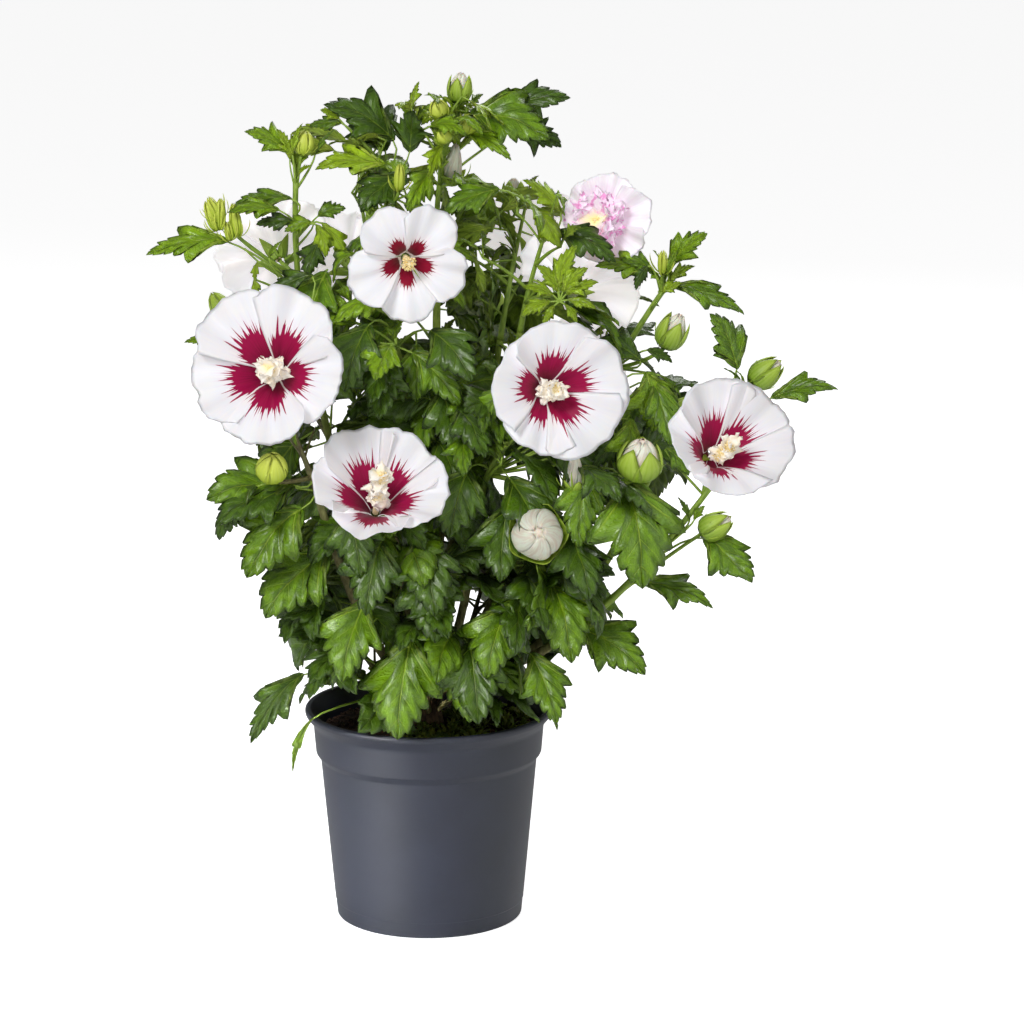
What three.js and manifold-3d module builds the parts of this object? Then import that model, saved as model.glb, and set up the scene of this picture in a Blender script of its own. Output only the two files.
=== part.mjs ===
// A hibiscus shrub in a plastic pot, in millimetres, +Z up.
// The origin is the middle of the pot's flat underside. The shrub is seen from -Y, with +X to the right.
import * as THREE from "three";
import { mergeVertices } from "three/addons/utils/BufferGeometryUtils.js";
import Module from "manifold-3d";

const wasm = await Module();
wasm.setup();

// Pot: radii and heights of a 19 cm nursery pot with a rolled lip and a collar
const POT = {
  height: 164,
  lipRadius: 95,
  lipInner: 90.6,
  lipLevel: 161.2,
  lipRound: 1.6,
  collarTop: 152,
  collarTopRadius: 88.6,
  collarFoot: 129.4,
  collarFootRadius: 86.7,
  bodyTop: 124.5,
  bodyTopRadius: 83.1,
  baseRadius: 71.3,
  baseRound: 1.6,
  wall: 2.2,
  floor: 3,
  sides: 36,
};

// Soil: a low heap inside the pot, clear of its wall
const SOIL = { level: 147, crown: 149.2, flat: 16, edge: 2, slump: 5, gap: 0.6, sides: 20 };

// Main stem: short, with a flare, forking above the soil
const STEM = {
  foot: 149.5,
  fork: 198,
  lean: [3, 1],
  flareRadius: 13,
  flareReach: 0.4,
  radius: 8.4,
  topRadius: 7,
  sides: 12,
  steps: 5,
};

const GAP = 0.3;

// Boughs: outFirst and riseLast say how far out and how far up the bend of a bough lies
const BOUGH = { sides: 5, steps: 4, outFirst: 0.6, riseLast: 0.28 };

// Twigs: a mass's own stem is thicker than its twigs. Twigs fork from it between two shares of its
// length, where they climb to their end at the slope, and bow upward by a share of their length.
const TWIG = {
  sides: 3,
  steps: 2,
  radius: 1.6,
  tipRadius: 1.5,
  stemRadius: 2.5,
  stemSides: 4,
  stemSteps: 3,
  stemReach: 0.45,
  forks: [0.25, 0.95],
  forkStep: 0.05,
  slope: 0.8,
  bow: 0.12,
  entry: 0.35,
  straighten: 0.4,
};

// Side twigs: where they start on the stem, their turn, sway, rise and length in ball radii
const SIDE = {
  start: 0.15,
  span: 0.75,
  turn: 40,
  sway: 30,
  rise: [12, 50],
  long: [0.5, 0.85],
  tests: [0.3, 0.5, 0.75, 1],
};

// Leaves: lengths in millimetres, widths and stations in shares of the length, angles in degrees
const LEAF = {
  mature: 90,
  young: 54,
  matureLevel: 380,
  youngLevel: 640,
  youngOutward: 0.35,
  grow: [0.82, 1.18],
  tipShrink: 0.25,
  spacing: 26,
  first: 9,
  last: 0.96,
  tries: 3,
  spiral: 137.5,
  sway: 40,
  outward: 0.55,
  droop: [-8, -52],
  rollSpan: 50,
  stalk: 0.26,
  stalkRise: 22,
  stalkRadius: 0.7,
  neck: 1.3,
  width: 0.8,
  youngWidth: 0.5,
  ridge: 0.055,
  ridgeShares: [0.4, 1, 1, 0],
  arch: [18, -18],
  lean: 0.6,
  front: 100,
  stations: [0, 0.3, 0.66, 1],
  spread: [0.03, 0.5, 0.34, 0],
};
const SPRAY = { leaves: 4, turn: 97, sway: 30, pitch: [8, 38], size: [0.8, 1.2] };

// Blooms: a dish of five petals on a short throat, with a column. Shares are of the bloom's radius,
// and each bloom has its own cup: how far its rim stands before its middle, as a share.
const BLOOM = {
  petals: 5,
  sidesPerPetal: 3,
  notch: 0.16,
  seamLift: 3,
  throat: 17,
  throatRadius: 7,
  bend: { at: 0.5, rise: 0.4, drop: 0.06 },
  depth: 3,
  columnRadius: 4.6,
  column: 0.5,
  sunk: 1.5,
  room: 30,
  roomBack: 9,
  roomSlope: 0.1,
  roomSide: 3,
};

// Buds: pointed eggs; the rows are radius and height in shares of the bud's length
const BUD = { sides: 6, sunk: 1.5, rows: [[0.3, 0.22], [0.27, 0.62]] };

// A leaf's middle and its edges pass the border of its mass by no more than these, and it stays
// within reach of the mass's ball and clear of the pot
const BORDER = { middle: -6, edge: -26, reach: 48, pot: 3 };

// Boughs: the limb that each one grows from and the share of its length where it leaves it, where
// it ends at its mass, and its two radii
const BOUGHS = {
  top: { on: "main_stem", at: 1, tip: [8, 2, 540], radii: [6.2, 2.3] },
  left: { on: "main_stem", at: 0.28, tip: [-80, -82, 343], radii: [4.4, 2.8] },
  front_left: { on: "main_stem", at: 0.72, tip: [-22, -52, 296], radii: [3.4, 2.4] },
  front_right: { on: "main_stem", at: 0.3, tip: [40, -60, 340], radii: [3.9, 2.6] },
  right: { on: "main_stem", at: 0.66, tip: [98, -38, 224], radii: [4.4, 3.2] },
  back_right: { on: "main_stem", at: 0.4, tip: [84, 50, 335], radii: [4.0, 2.7] },
  back: { on: "main_stem", at: 0.66, tip: [12, 74, 330], radii: [3.8, 2.6] },
  back_left: { on: "main_stem", at: 0.36, tip: [-70, 52, 340], radii: [4.0, 2.7] },
  upper_left: { on: "main_stem", at: 0.56, tip: [-90, -16, 455], radii: [4.0, 2.4] },
  far_right: { on: "right", at: 0.55, tip: [160, -28, 334], radii: [3.3, 2.6] },
  upper_right: { on: "top", at: 0.16, tip: [70, -4, 455], radii: [3.6, 2.5] },
  high_right: { on: "upper_right", at: 0.34, tip: [132, -4, 408], radii: [3.0, 2.5] },
  inner: { on: "top", at: 0.22, tip: [26, -20, 306], radii: [2.8, 2.2] },
  centre: { on: "top", at: 0.42, tip: [-26, -30, 432], radii: [3.2, 2.4] },
  upper_back_left: { on: "top", at: 0.34, tip: [-36, 52, 452], radii: [3.4, 2.4] },
  upper_back_right: { on: "top", at: 0.26, tip: [56, 48, 440], radii: [3.4, 2.4] },
  top_left: { on: "top", at: 0.62, tip: [-42, 10, 520], radii: [2.9, 2.2] },
};

// Masses: the ball that gives each one its space, where its own stem ends, the count of seeded
// side twigs, the seed, and its tips. A tip is [kind, x, y, z, size, azimuth, pitch]: size is a
// bloom's radius or the length of a bud, a leaf or a spray, and the angles say where it points.
// One more number gives a leaf its width and a bloom its cup, in shares of the size.
const MASSES = {
  low_left: {
    at: 0.13,
    ball: [-82, -42, 238, 58],
    crest: [-84, -52, 288],
    twigs: 3,
    seed: 11,
    tips: [
      ["leaf", -72, -84, 306, 72, -152, -34, 0.85],
      ["leaf", -88, -76, 210, 67, -151, -41, 0.6],
    ],
  },
  low_front: {
    at: 0.1,
    ball: [0, -74, 236, 52],
    crest: [-4, -70, 282],
    twigs: 3,
    seed: 23,
    tips: [
      ["leaf", -12, -88, 241, 80, -109, -58, 0.8],
      ["leaf", -46, -92, 270, 66, -122, -53, 0.8],
      ["leaf", 60, -84, 265, 62, -121, -50, 0.85],
      ["leaf", -6, -84, 297, 66, -72, -50, 0.8],
      ["leaf", 30, -86, 236, 66, -80, -50, 0.8],
    ],
  },
  low_right: {
    at: 0.15,
    ball: [78, -38, 238, 50],
    crest: [86, -52, 300],
    twigs: 3,
    seed: 35,
    tips: [
      ["leaf", 76, -76, 224, 59, -56, -49, 0.7],
      ["bud", 80, -90, 318, 46, -90, 15],
      ["leaf", 58, -84, 338, 60, -100, -52, 0.8],
      ["leaf", 104, -84, 322, 60, -66, -48, 0.8],
      ["leaf", 92, -76, 280, 68, -70, -48, 0.85],
    ],
  },
  low_back_left: { at: 0.12, ball: [-62, 66, 245, 56], crest: [-48, 84, 290], twigs: 7, seed: 47, tips: [] },
  low_back_right: { at: 0.11, ball: [66, 66, 245, 56], crest: [54, 80, 290], twigs: 7, seed: 59, tips: [] },
  inner: { ball: [22, -22, 376, 56], crest: [22, -40, 424], twigs: 8, seed: 61, tips: [] },
  left: {
    ball: [-124, -68, 404, 60],
    crest: [-110, -84, 420],
    twigs: 3,
    seed: 73,
    tips: [
      ["bloom", -113, -120, 449, 58, -99, 16, 0.3],
      ["leaf", -99, -94, 357, 66, -165, 0, 0.75],
      ["leaf", -91, -98, 342, 69, -149, -39, 0.8],
      ["bud", -106, -118, 373, 24, -110, 20],
      ["leaf", -60, -92, 340, 55, -66, -56, 0.8],
      ["leaf", -150, -60, 458, 30, -161, 8, 0.5],
    ],
  },
  front_left: {
    ball: [-34, -92, 348, 50],
    crest: [-30, -84, 352],
    twigs: 5,
    seed: 85,
    tips: [
      ["bloom", -37, -109, 348, 50, -82, 46, 0.6],
      ["leaf", -8, -92, 318, 66, -70, -48, 0.8],
      ["leaf", -34, -96, 316, 60, -112, -52, 0.8],
    ],
  },
  front_right: {
    ball: [98, -78, 398, 56],
    crest: [88, -80, 408],
    twigs: 5,
    seed: 97,
    tips: [
      ["bloom", 93, -110, 430, 51, -76, 7, 0.36],
      ["leaf", 30, -80, 366, 60, -112, -43, 0.85],
      ["leaf", 145, -86, 361, 86, -66, -63, 0.9],
      ["leaf", 166, -62, 428, 52, -60, -56, 0.6],
      ["leaf", 150, -76, 402, 50, -100, -56, 0.6],
      ["leaf", 118, -92, 366, 58, -112, -62, 0.7],
      ["bud", 160, -92, 366, 36, -70, 62],
    ],
  },
  right: {
    ball: [186, -54, 306, 62],
    crest: [211, -60, 348],
    twigs: 0,
    tipsOnly: true,
    seed: 109,
    tips: [
      ["bloom", 217, -74, 382, 50, -65, 28, 0.45],
      ["leaf", 111, -55, 240, 65, -21, -25, 0.75],
      ["leaf", 159, -58, 274, 59, -16, -11, 0.5],
      ["leaf", 205, -62, 309, 52, -34, -30, 0.85],
      ["bud", 206, -64, 318, 28, -20, 40],
    ],
  },
  far_right: {
    ball: [232, -16, 424, 42],
    crest: [240, -26, 408],
    twigs: 0,
    tipsOnly: true,
    seed: 121,
    tips: [
      ["bud", 255, -20, 424, 30, -20, 45],
      ["leaf", 257, -32, 410, 50, -13, 10, 0.5],
      ["leaf", 239, -26, 429, 48, -162, 58, 0.7],
    ],
  },
  centre: {
    ball: [-16, -54, 486, 50],
    crest: [-16, -56, 490],
    twigs: 6,
    seed: 133,
    tips: [
      ["bloom", -14, -93, 522, 45, -85, -3, 0.25],
      ["leaf", 2, -74, 469, 56, -45, -32, 0.8],
      ["leaf", -42, -74, 474, 58, -122, -48, 0.8],
      ["leaf", -30, -66, 440, 58, -100, -56, 0.8],
    ],
  },
  back_left: {
    ball: [-98, 70, 396, 62],
    crest: [-100, 74, 430],
    twigs: 5,
    seed: 145,
    tips: [
      ["bloom", -130, 118, 418, 52, 132, 14, 0.3],
      ["bud", -150, 60, 452, 28, 160, 55],
    ],
  },
  back: {
    ball: [14, 100, 388, 60],
    crest: [12, 104, 428],
    twigs: 6,
    seed: 157,
    tips: [
      ["bloom", 6, 152, 362, 52, 96, 10, 0.3],
      ["bud", 50, 140, 436, 30, 70, 60],
    ],
  },
  back_right: {
    ball: [118, 72, 388, 60],
    crest: [122, 76, 428],
    twigs: 4,
    seed: 169,
    tips: [
      ["bloom", 114, 118, 396, 52, 38, 12, 0.3],
      ["bud", 184, 50, 372, 30, 10, 45],
    ],
  },
  upper_left: {
    ball: [-124, -24, 528, 56],
    crest: [-96, -30, 572],
    twigs: 3,
    seed: 181,
    tips: [
      ["bloom", -114, 6, 514, 45, 106, 12, 0.3],
      ["bud", -92, -30, 596, 24, -110, 80],
      ["leaf", -146, -42, 528, 58, -170, -4, 0.5],
      ["bud", -151, -42, 546, 20, -150, 60],
      ["leaf", -74, -40, 506, 58, -122, -52, 0.8],
      ["leaf", -100, -32, 594, 38, -170, 32, 0.6],
      ["leaf", -108, -36, 552, 42, -155, 7, 0.5],
    ],
  },
  top_left: {
    ball: [-50, 6, 584, 44],
    crest: [-34, 0, 588],
    twigs: 2,
    seed: 193,
    tips: [
      ["leaf", -23, -2, 599, 62, -168, 34, 0.85],
      ["leaf", -14, -14, 596, 44, -60, 72, 0.8],
      ["leaf", -30, -26, 584, 54, -168, 4, 0.5],
      ["leaf", -20, -22, 576, 44, -143, -29, 0.8],
      ["bud", -20, -40, 566, 22, -80, 75],
    ],
  },
  top: {
    ball: [32, -2, 602, 46],
    crest: [20, -10, 612],
    twigs: 3,
    seed: 205,
    tips: [
      ["bud", 24, -8, 628, 26, -60, 78],
      ["leaf", 31, -6, 619, 66, -15, -9, 0.8],
      ["leaf", 58, 4, 620, 52, -7, 18, 0.6],
      ["leaf", 28, -14, 606, 48, -38, -15, 0.4],
      ["bud", 12, -22, 618, 20, -130, 60],
    ],
  },
  upper_right: {
    ball: [98, -6, 518, 56],
    crest: [94, -16, 548],
    twigs: 5,
    seed: 217,
    tips: [
      ["bloom", 134, 8, 538, 36, -40, 48, 0.3],
      ["bloom", 112, 18, 488, 50, 60, 20, 0.3],
      ["leaf", 54, -28, 566, 46, -167, -16, 0.6],
      ["leaf", 100, -14, 546, 42, -157, 46, 0.5],
      ["leaf", 96, -24, 534, 52, -15, -19, 0.6],
      ["spray", 97, -78, 490, 34, -90, 70],
    ],
  },
  high_right: {
    ball: [182, -4, 482, 44],
    crest: [178, -8, 488],
    twigs: 0,
    tipsOnly: true,
    seed: 229,
    tips: [
      ["leaf", 184, -10, 490, 59, -16, -14, 0.45],
      ["leaf", 182, -8, 505, 42, -32, 47, 0.6],
      ["leaf", 169, -10, 503, 46, -167, 10, 0.5],
      ["bud", 181, -24, 450, 28, -60, 60],
      ["bud", 176, -14, 500, 18, -90, 70],
    ],
  },
  upper_back_left: {
    ball: [-46, 78, 512, 56],
    crest: [-52, 76, 556],
    twigs: 6,
    seed: 241,
    tips: [
      ["bloom", -62, 72, 526, 46, 112, 16, 0.3],
      ["bud", -48, 70, 576, 24, 110, 75],
    ],
  },
  upper_back_right: {
    ball: [76, 76, 504, 58],
    crest: [78, 76, 548],
    twigs: 6,
    seed: 253,
    tips: [
      ["bloom", 92, 122, 520, 50, 70, 20, 0.3],
      ["bud", 70, 60, 574, 24, 80, 75],
    ],
  },
};

// The photograph shows sky through these places, so no leaf of the rule stands in line with them.
// Each is an x, a z and a radius, where the line from the viewpoint meets the upright plane y = 0.
const VIEWPOINT = new THREE.Vector3(0, -2800, 927);
const OPENINGS = [
  [-164, 593, 29], [130, 594, 24], [-140, 210, 22], [127, 160, 17], [-170, 359, 17], [-162, 485, 16],
  [-130, 585, 13], [119, 184, 12], [137, 182, 12], [-189, 547, 12], [100, 584, 12], [5, 656, 11],
  [-181, 466, 9], [46, 583, 9], [-148, 351, 9], [80, 586, 8], [-30, 642, 8], [-185, 504, 7],
  [187, 247, 7], [-65, 574, 7], [-161, 380, 7], [278, 440, 6], [-120, 189, 6], [68, 581, 6],
  [-139, 266, 6], [-140, 568, 5], [-155, 504, 5], [106, 568, 5], [-1, 461, 5], [271, 348, 5],
  [218, 326, 4], [-55, 559, 4], [104, 195, 4], [59, 589, 4],
];

// Looks of the sub-parts
const PLASTIC = new THREE.MeshStandardMaterial({ color: 0x484d58, roughness: 0.5, metalness: 0 });
const COMPOST = new THREE.MeshStandardMaterial({ color: 0x2b2018, roughness: 1, metalness: 0 });
const BARK = new THREE.MeshStandardMaterial({ color: 0x6f6545, roughness: 0.85, metalness: 0 });
const GREEN = new THREE.MeshStandardMaterial({ color: 0x3c6a22, roughness: 0.55, metalness: 0 });

// A row of numbers from 0 to 1 that is the same each time for one seed
function seeded(seed) {
  let state = seed * 7919 + 12345;
  const draw = () => {
    state = (state * 1664525 + 1013904223) % 4294967296;
    return state / 4294967296;
  };
  for (let warm = 0; warm < 4; warm++) draw();
  return draw;
}

// The unit vector at an azimuth from +X and a pitch above the level, in degrees
function pointing(azimuth, pitch) {
  const a = THREE.MathUtils.degToRad(azimuth);
  const p = THREE.MathUtils.degToRad(pitch);
  return new THREE.Vector3(Math.cos(a) * Math.cos(p), Math.sin(a) * Math.cos(p), Math.sin(p));
}

// One closed solid from a geometry, with shared corners merged and collapsed faces left out
function solidOf(geometry) {
  const bare = geometry.clone();
  bare.deleteAttribute("normal");
  bare.deleteAttribute("uv");
  const merged = mergeVertices(bare, 1e-4);
  const index = merged.index.array;
  const faces = [];
  for (let i = 0; i < index.length; i += 3) {
    const [a, b, c] = [index[i], index[i + 1], index[i + 2]];
    if (a !== b && b !== c && c !== a) faces.push(a, b, c);
  }
  const vertProperties = new Float32Array(merged.attributes.position.array);
  return new wasm.Manifold(new wasm.Mesh({ numProp: 3, vertProperties, triVerts: new Uint32Array(faces) }));
}

function geometryOf(solid) {
  const mesh = solid.getMesh();
  const geometry = new THREE.BufferGeometry();
  geometry.setAttribute("position", new THREE.BufferAttribute(mesh.vertProperties, 3));
  geometry.setIndex(new THREE.BufferAttribute(mesh.triVerts, 1));
  geometry.computeVertexNormals();
  return geometry;
}

// A cylinder of unit radius, bent so that each of its rings lies at a section. A section has a
// centre, a side and a face direction, and the half width and half height that its ring is drawn to.
function bent(sections, sides) {
  const steps = sections.length - 1;
  const geometry = new THREE.CylinderGeometry(1, 1, 1, sides, steps);
  const place = geometry.attributes.position;
  for (let i = 0; i < place.count; i++) {
    const s = sections[Math.round((0.5 - place.getY(i)) * steps)];
    const v = s.centre.clone();
    v.addScaledVector(s.side, place.getX(i) * s.wide);
    v.addScaledVector(s.face, place.getZ(i) * s.high);
    place.setXYZ(i, v.x, v.y, v.z);
  }
  return geometry;
}

// The level direction across a shoot, which stays square to it all the way when it lies in one
// upright plane
function across(curve) {
  const chord = curve.getPoint(1).sub(curve.getPoint(0));
  const level = new THREE.Vector3(-chord.y, chord.x, 0);
  return level.length() < 1e-3 ? new THREE.Vector3(1, 0, 0) : level.normalize();
}

function frameAt(curve, t) {
  const tangent = curve.getTangent(t).normalize();
  const side = across(curve);
  side.addScaledVector(tangent, -side.dot(tangent)).normalize();
  return { centre: curve.getPoint(t), tangent, side, face: tangent.clone().cross(side) };
}

// A tapering limb along a curve
function limb(curve, radii, sides, steps) {
  const sections = [];
  for (let k = 0; k <= steps; k++) {
    const frame = frameAt(curve, k / steps);
    const radius = THREE.MathUtils.lerp(radii[0], radii[1], k / steps);
    sections.push({ ...frame, wide: radius, high: radius });
  }
  return bent(sections, sides);
}

// A point on a limb, which runs in straight steps
function onLimb(curve, steps, t) {
  const k = Math.min(steps - 1, Math.floor(t * steps));
  return curve.getPoint(k / steps).lerp(curve.getPoint((k + 1) / steps), t * steps - k);
}

// The sections of a leaf: the foot of its stalk, then the blade's base, lobes, waist and tip.
// The blade droops a little more at each section, and its face turns up and outward to the light.
function leafSections(leaf) {
  const sections = [];
  const rise = pointing(leaf.azimuth, leaf.pitch + LEAF.stalkRise);
  const light = new THREE.Vector3(leaf.foot.x, leaf.foot.y - (leaf.fixed ? LEAF.front : 0), 0);
  light.normalize().multiplyScalar(LEAF.lean);
  light.z = 1 - LEAF.lean;
  const roll = THREE.MathUtils.degToRad(leaf.roll);
  const add = (centre, direction, side, wide, high) =>
    sections.push({ centre: centre.clone(), side, face: direction.clone().cross(side), wide, high });
  const sideOf = (direction) => light.clone().cross(direction).normalize().applyAxisAngle(direction, roll);

  const footSide = sideOf(rise);
  if (leaf.from) {
    const way = leaf.foot.clone().sub(leaf.from).normalize();
    const side = footSide.clone().addScaledVector(way, -footSide.dot(way)).normalize();
    add(leaf.from, way, side, LEAF.stalkRadius, LEAF.stalkRadius);
  }
  add(leaf.foot, rise, footSide, LEAF.stalkRadius, LEAF.stalkRadius);
  const centre = leaf.foot.clone().addScaledVector(rise, LEAF.stalk * leaf.length);
  let before = 0;
  LEAF.stations.forEach((station, k) => {
    const pitch = leaf.pitch + THREE.MathUtils.lerp(...LEAF.arch, station);
    const direction = pointing(leaf.azimuth, pitch);
    centre.addScaledVector(direction, (station - before) * leaf.length);
    before = station;
    const spread = LEAF.spread[k] * leaf.length * leaf.width;
    const wide = k === 0 ? LEAF.stalkRadius * LEAF.neck : spread;
    add(centre, direction, sideOf(direction), wide, LEAF.ridge * LEAF.ridgeShares[k] * leaf.length);
  });
  return sections;
}

const leafSolid = (leaf) => solidOf(bent(leafSections(leaf), 3));

// The points that stand for a blade in the tests for room, edge by edge, with its middle among them
function leafPoints(leaf) {
  const points = [];
  leafSections(leaf).slice(-LEAF.stations.length).forEach((s) => {
    points.push(s.centre.clone().addScaledVector(s.side, s.wide));
    points.push(s.centre.clone().addScaledVector(s.side, -s.wide));
  });
  return points;
}

// Points all over a blade, for the test against the openings
function bladePoints(leaf) {
  const rows = leafSections(leaf).slice(-LEAF.stations.length);
  const edge = (s, share) => s.centre.clone().addScaledVector(s.side, s.wide * share);
  const points = [];
  for (let k = 0; k + 1 < rows.length; k++) {
    for (const along of [0, 0.5, 1]) {
      for (const share of [-1, -0.5, 0, 0.5, 1]) {
        points.push(edge(rows[k], share).lerp(edge(rows[k + 1], share), along));
      }
    }
  }
  return points;
}

// An open bloom: a dish whose rim is notched between its petals, with the column in its middle
function bloomSolid(bloom) {
  const r = bloom.size;
  const profile = [
    [0, -BLOOM.throat],
    [BLOOM.throatRadius, -BLOOM.throat / 2],
    [r, r * bloom.cup],
    [r * BLOOM.bend.at, r * (BLOOM.bend.rise * bloom.cup - BLOOM.bend.drop) + BLOOM.depth],
    [BLOOM.columnRadius, BLOOM.depth],
    [0, r * BLOOM.column],
  ].map(([x, y]) => new THREE.Vector2(x, y));
  const geometry = new THREE.LatheGeometry(profile, BLOOM.petals * BLOOM.sidesPerPetal);
  const place = geometry.attributes.position;
  for (let i = 0; i < place.count; i++) {
    const [x, y, z] = [place.getX(i), place.getY(i), place.getZ(i)];
    const out = Math.hypot(x, z) / r;
    const seam = Math.max(0, Math.cos(BLOOM.petals * Math.atan2(x, z)));
    const keep = 1 - BLOOM.notch * seam * out;
    place.setXYZ(i, x * keep, y + seam * out * BLOOM.seamLift, z * keep);
  }
  return aimed(geometry, bloom);
}

// A bud: a pointed egg with its foot on the twig's end
function budSolid(bud) {
  const rows = BUD.rows.map(([x, y]) => [x * bud.size, y * bud.size]);
  const profile = [[0, -BUD.sunk], ...rows, [0, bud.size]].map(([x, y]) => new THREE.Vector2(x, y));
  return aimed(new THREE.LatheGeometry(profile, BUD.sides), bud);
}

// A shape made round +Y, turned to point where its tip points and moved to it
function aimed(geometry, tip) {
  const turn = new THREE.Quaternion().setFromUnitVectors(new THREE.Vector3(0, 1, 0), tip.facing);
  geometry.applyQuaternion(turn);
  geometry.translate(tip.place.x, tip.place.y, tip.place.z);
  return solidOf(geometry);
}

function potGeometry() {
  const p = POT;
  const inner = (radius) => radius - p.wall;
  const profile = [
    [0, 0],
    [p.baseRadius - p.baseRound, 0],
    [p.baseRadius, p.baseRound],
    [p.bodyTopRadius, p.bodyTop],
    [p.collarFootRadius, p.collarFoot],
    [p.collarTopRadius, p.collarTop],
    [p.lipRadius - p.lipRound / 4, p.lipLevel - p.lipRound * 0.75],
    [p.lipRadius, p.lipLevel + p.lipRound / 3],
    [p.lipRadius - p.lipRound, p.height],
    [p.lipInner + p.lipRound / 3, p.height],
    [p.lipInner - p.lipRound / 4, p.height - p.lipRound],
    [inner(p.collarTopRadius), p.collarTop],
    [inner(p.collarFootRadius), p.collarFoot],
    [inner(p.bodyTopRadius), p.bodyTop],
    [inner(p.baseRadius), p.floor],
    [0, p.floor],
  ].map(([x, y]) => new THREE.Vector2(x, y));
  return new THREE.LatheGeometry(profile, p.sides).rotateX(Math.PI / 2);
}

function soilGeometry() {
  const p = POT;
  const room = p.wall + SOIL.gap;
  const topRadius = THREE.MathUtils.mapLinear(
    SOIL.level, p.collarFoot, p.collarTop, p.collarFootRadius, p.collarTopRadius);
  const profile = [
    [0, p.floor + SOIL.gap],
    [p.baseRadius - room, p.floor + SOIL.gap],
    [p.bodyTopRadius - room, p.bodyTop],
    [p.collarFootRadius - room, p.collarFoot],
    [topRadius - room, SOIL.level - SOIL.edge],
    [topRadius - room - SOIL.slump, SOIL.level],
    [SOIL.flat, SOIL.crown],
    [0, SOIL.crown],
  ].map(([x, y]) => new THREE.Vector2(x, y));
  return new THREE.LatheGeometry(profile, SOIL.sides).rotateX(Math.PI / 2);
}

const STEM_LINE = new THREE.LineCurve3(
  new THREE.Vector3(0, 0, STEM.foot), new THREE.Vector3(STEM.lean[0], STEM.lean[1], STEM.fork));

// The main stem stands on the soil with a flat cut, flares at its foot and leans a little.
// With more room it is the same stem made thicker, to cut its neighbours clear of it.
function mainStem(room) {
  const sections = [];
  for (let k = 0; k <= STEM.steps; k++) {
    const t = k / STEM.steps;
    const taper = THREE.MathUtils.lerp(STEM.radius, STEM.topRadius, t);
    const flare = (STEM.flareRadius - STEM.radius) * (1 - Math.min(1, t / STEM.flareReach)) ** 2;
    const radius = taper + flare + room;
    const centre = STEM_LINE.getPoint(t);
    centre.z += k === 0 ? -room : k === STEM.steps ? room : 0;
    sections.push({
      centre,
      side: new THREE.Vector3(0, 1, 0),
      face: new THREE.Vector3(-1, 0, 0),
      wide: radius,
      high: radius,
    });
  }
  return bent(sections, STEM.sides);
}

// A shoot leaves its limb outward and turns up to its tip
function rising(foot, tip) {
  const turn = new THREE.Vector3(
    THREE.MathUtils.lerp(foot.x, tip.x, BOUGH.outFirst),
    THREE.MathUtils.lerp(foot.y, tip.y, BOUGH.outFirst),
    THREE.MathUtils.lerp(foot.z, tip.z, BOUGH.riseLast),
  );
  return new THREE.QuadraticBezierCurve3(foot, turn, tip);
}

function arc(from, to, bow) {
  const middle = from.clone().lerp(to, 0.5);
  middle.z += bow * from.distanceTo(to);
  return new THREE.QuadraticBezierCurve3(from, middle, to);
}

// How far a point lies inside the space of a mass, measured to the flat border with each other mass
const BALLS = Object.values(MASSES).map((m) => ({
  centre: new THREE.Vector3(...m.ball.slice(0, 3)),
  radius: m.ball[3],
}));

function inside(point, own) {
  const power = (ball) => ball.centre.distanceToSquared(point) - ball.radius ** 2;
  const mine = power(BALLS[own]);
  const depths = BALLS.map((ball, k) =>
    k === own ? Infinity : (power(ball) - mine) / (2 * ball.centre.distanceTo(BALLS[own].centre)));
  return Math.min(...depths);
}

function clearOfPot(point) {
  const beside = Math.hypot(point.x, point.y) > POT.lipRadius + BORDER.pot;
  return beside || point.z > POT.height + BORDER.pot;
}

function clearOfOpenings(point) {
  const seen = VIEWPOINT.clone().lerp(point, VIEWPOINT.y / (VIEWPOINT.y - point.y));
  return OPENINGS.every(([x, z, radius]) => Math.hypot(seen.x - x, seen.z - z) > radius);
}

// Blooms keep a round room in front of them
function clearOfBlooms(point) {
  return blooms.every((b) => {
    const from = point.clone().sub(b.place);
    const ahead = from.dot(b.facing);
    const off = from.addScaledVector(b.facing, -ahead).length();
    const behind = ahead < -BLOOM.roomBack - BLOOM.roomSlope * off;
    return behind || ahead > b.size * b.cup + BLOOM.room || off > b.size + BLOOM.roomSide;
  });
}

const group = new THREE.Group();

function piece(name, geometry, material) {
  const mesh = new THREE.Mesh(geometry, material);
  mesh.name = name;
  group.add(mesh);
}

piece("pot", potGeometry(), PLASTIC);
piece("soil", soilGeometry(), COMPOST);
piece("main_stem", mainStem(0), BARK);

const curves = { main_stem: STEM_LINE };
const rooms = { main_stem: solidOf(mainStem(GAP)) };
let limbRoom = rooms.main_stem;
for (const [name, bough] of Object.entries(BOUGHS)) {
  const holder = curves[bough.on];
  const foot = holder.getPoint(bough.at);
  const tip = new THREE.Vector3(...bough.tip);
  if (bough.at === 1) foot.z += GAP;
  const curve = rising(foot, tip);
  const roomy = bough.radii.map((radius) => radius + GAP);
  curves[name] = curve;
  rooms[name] = solidOf(limb(curve, roomy, BOUGH.sides, BOUGH.steps));
  limbRoom = limbRoom.add(rooms[name]);
  let solid = solidOf(limb(curve, bough.radii, BOUGH.sides, BOUGH.steps));
  if (bough.at < 1) solid = solid.subtract(rooms[bough.on]);
  piece("bough_" + name, geometryOf(solid), BARK);
}

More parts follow.
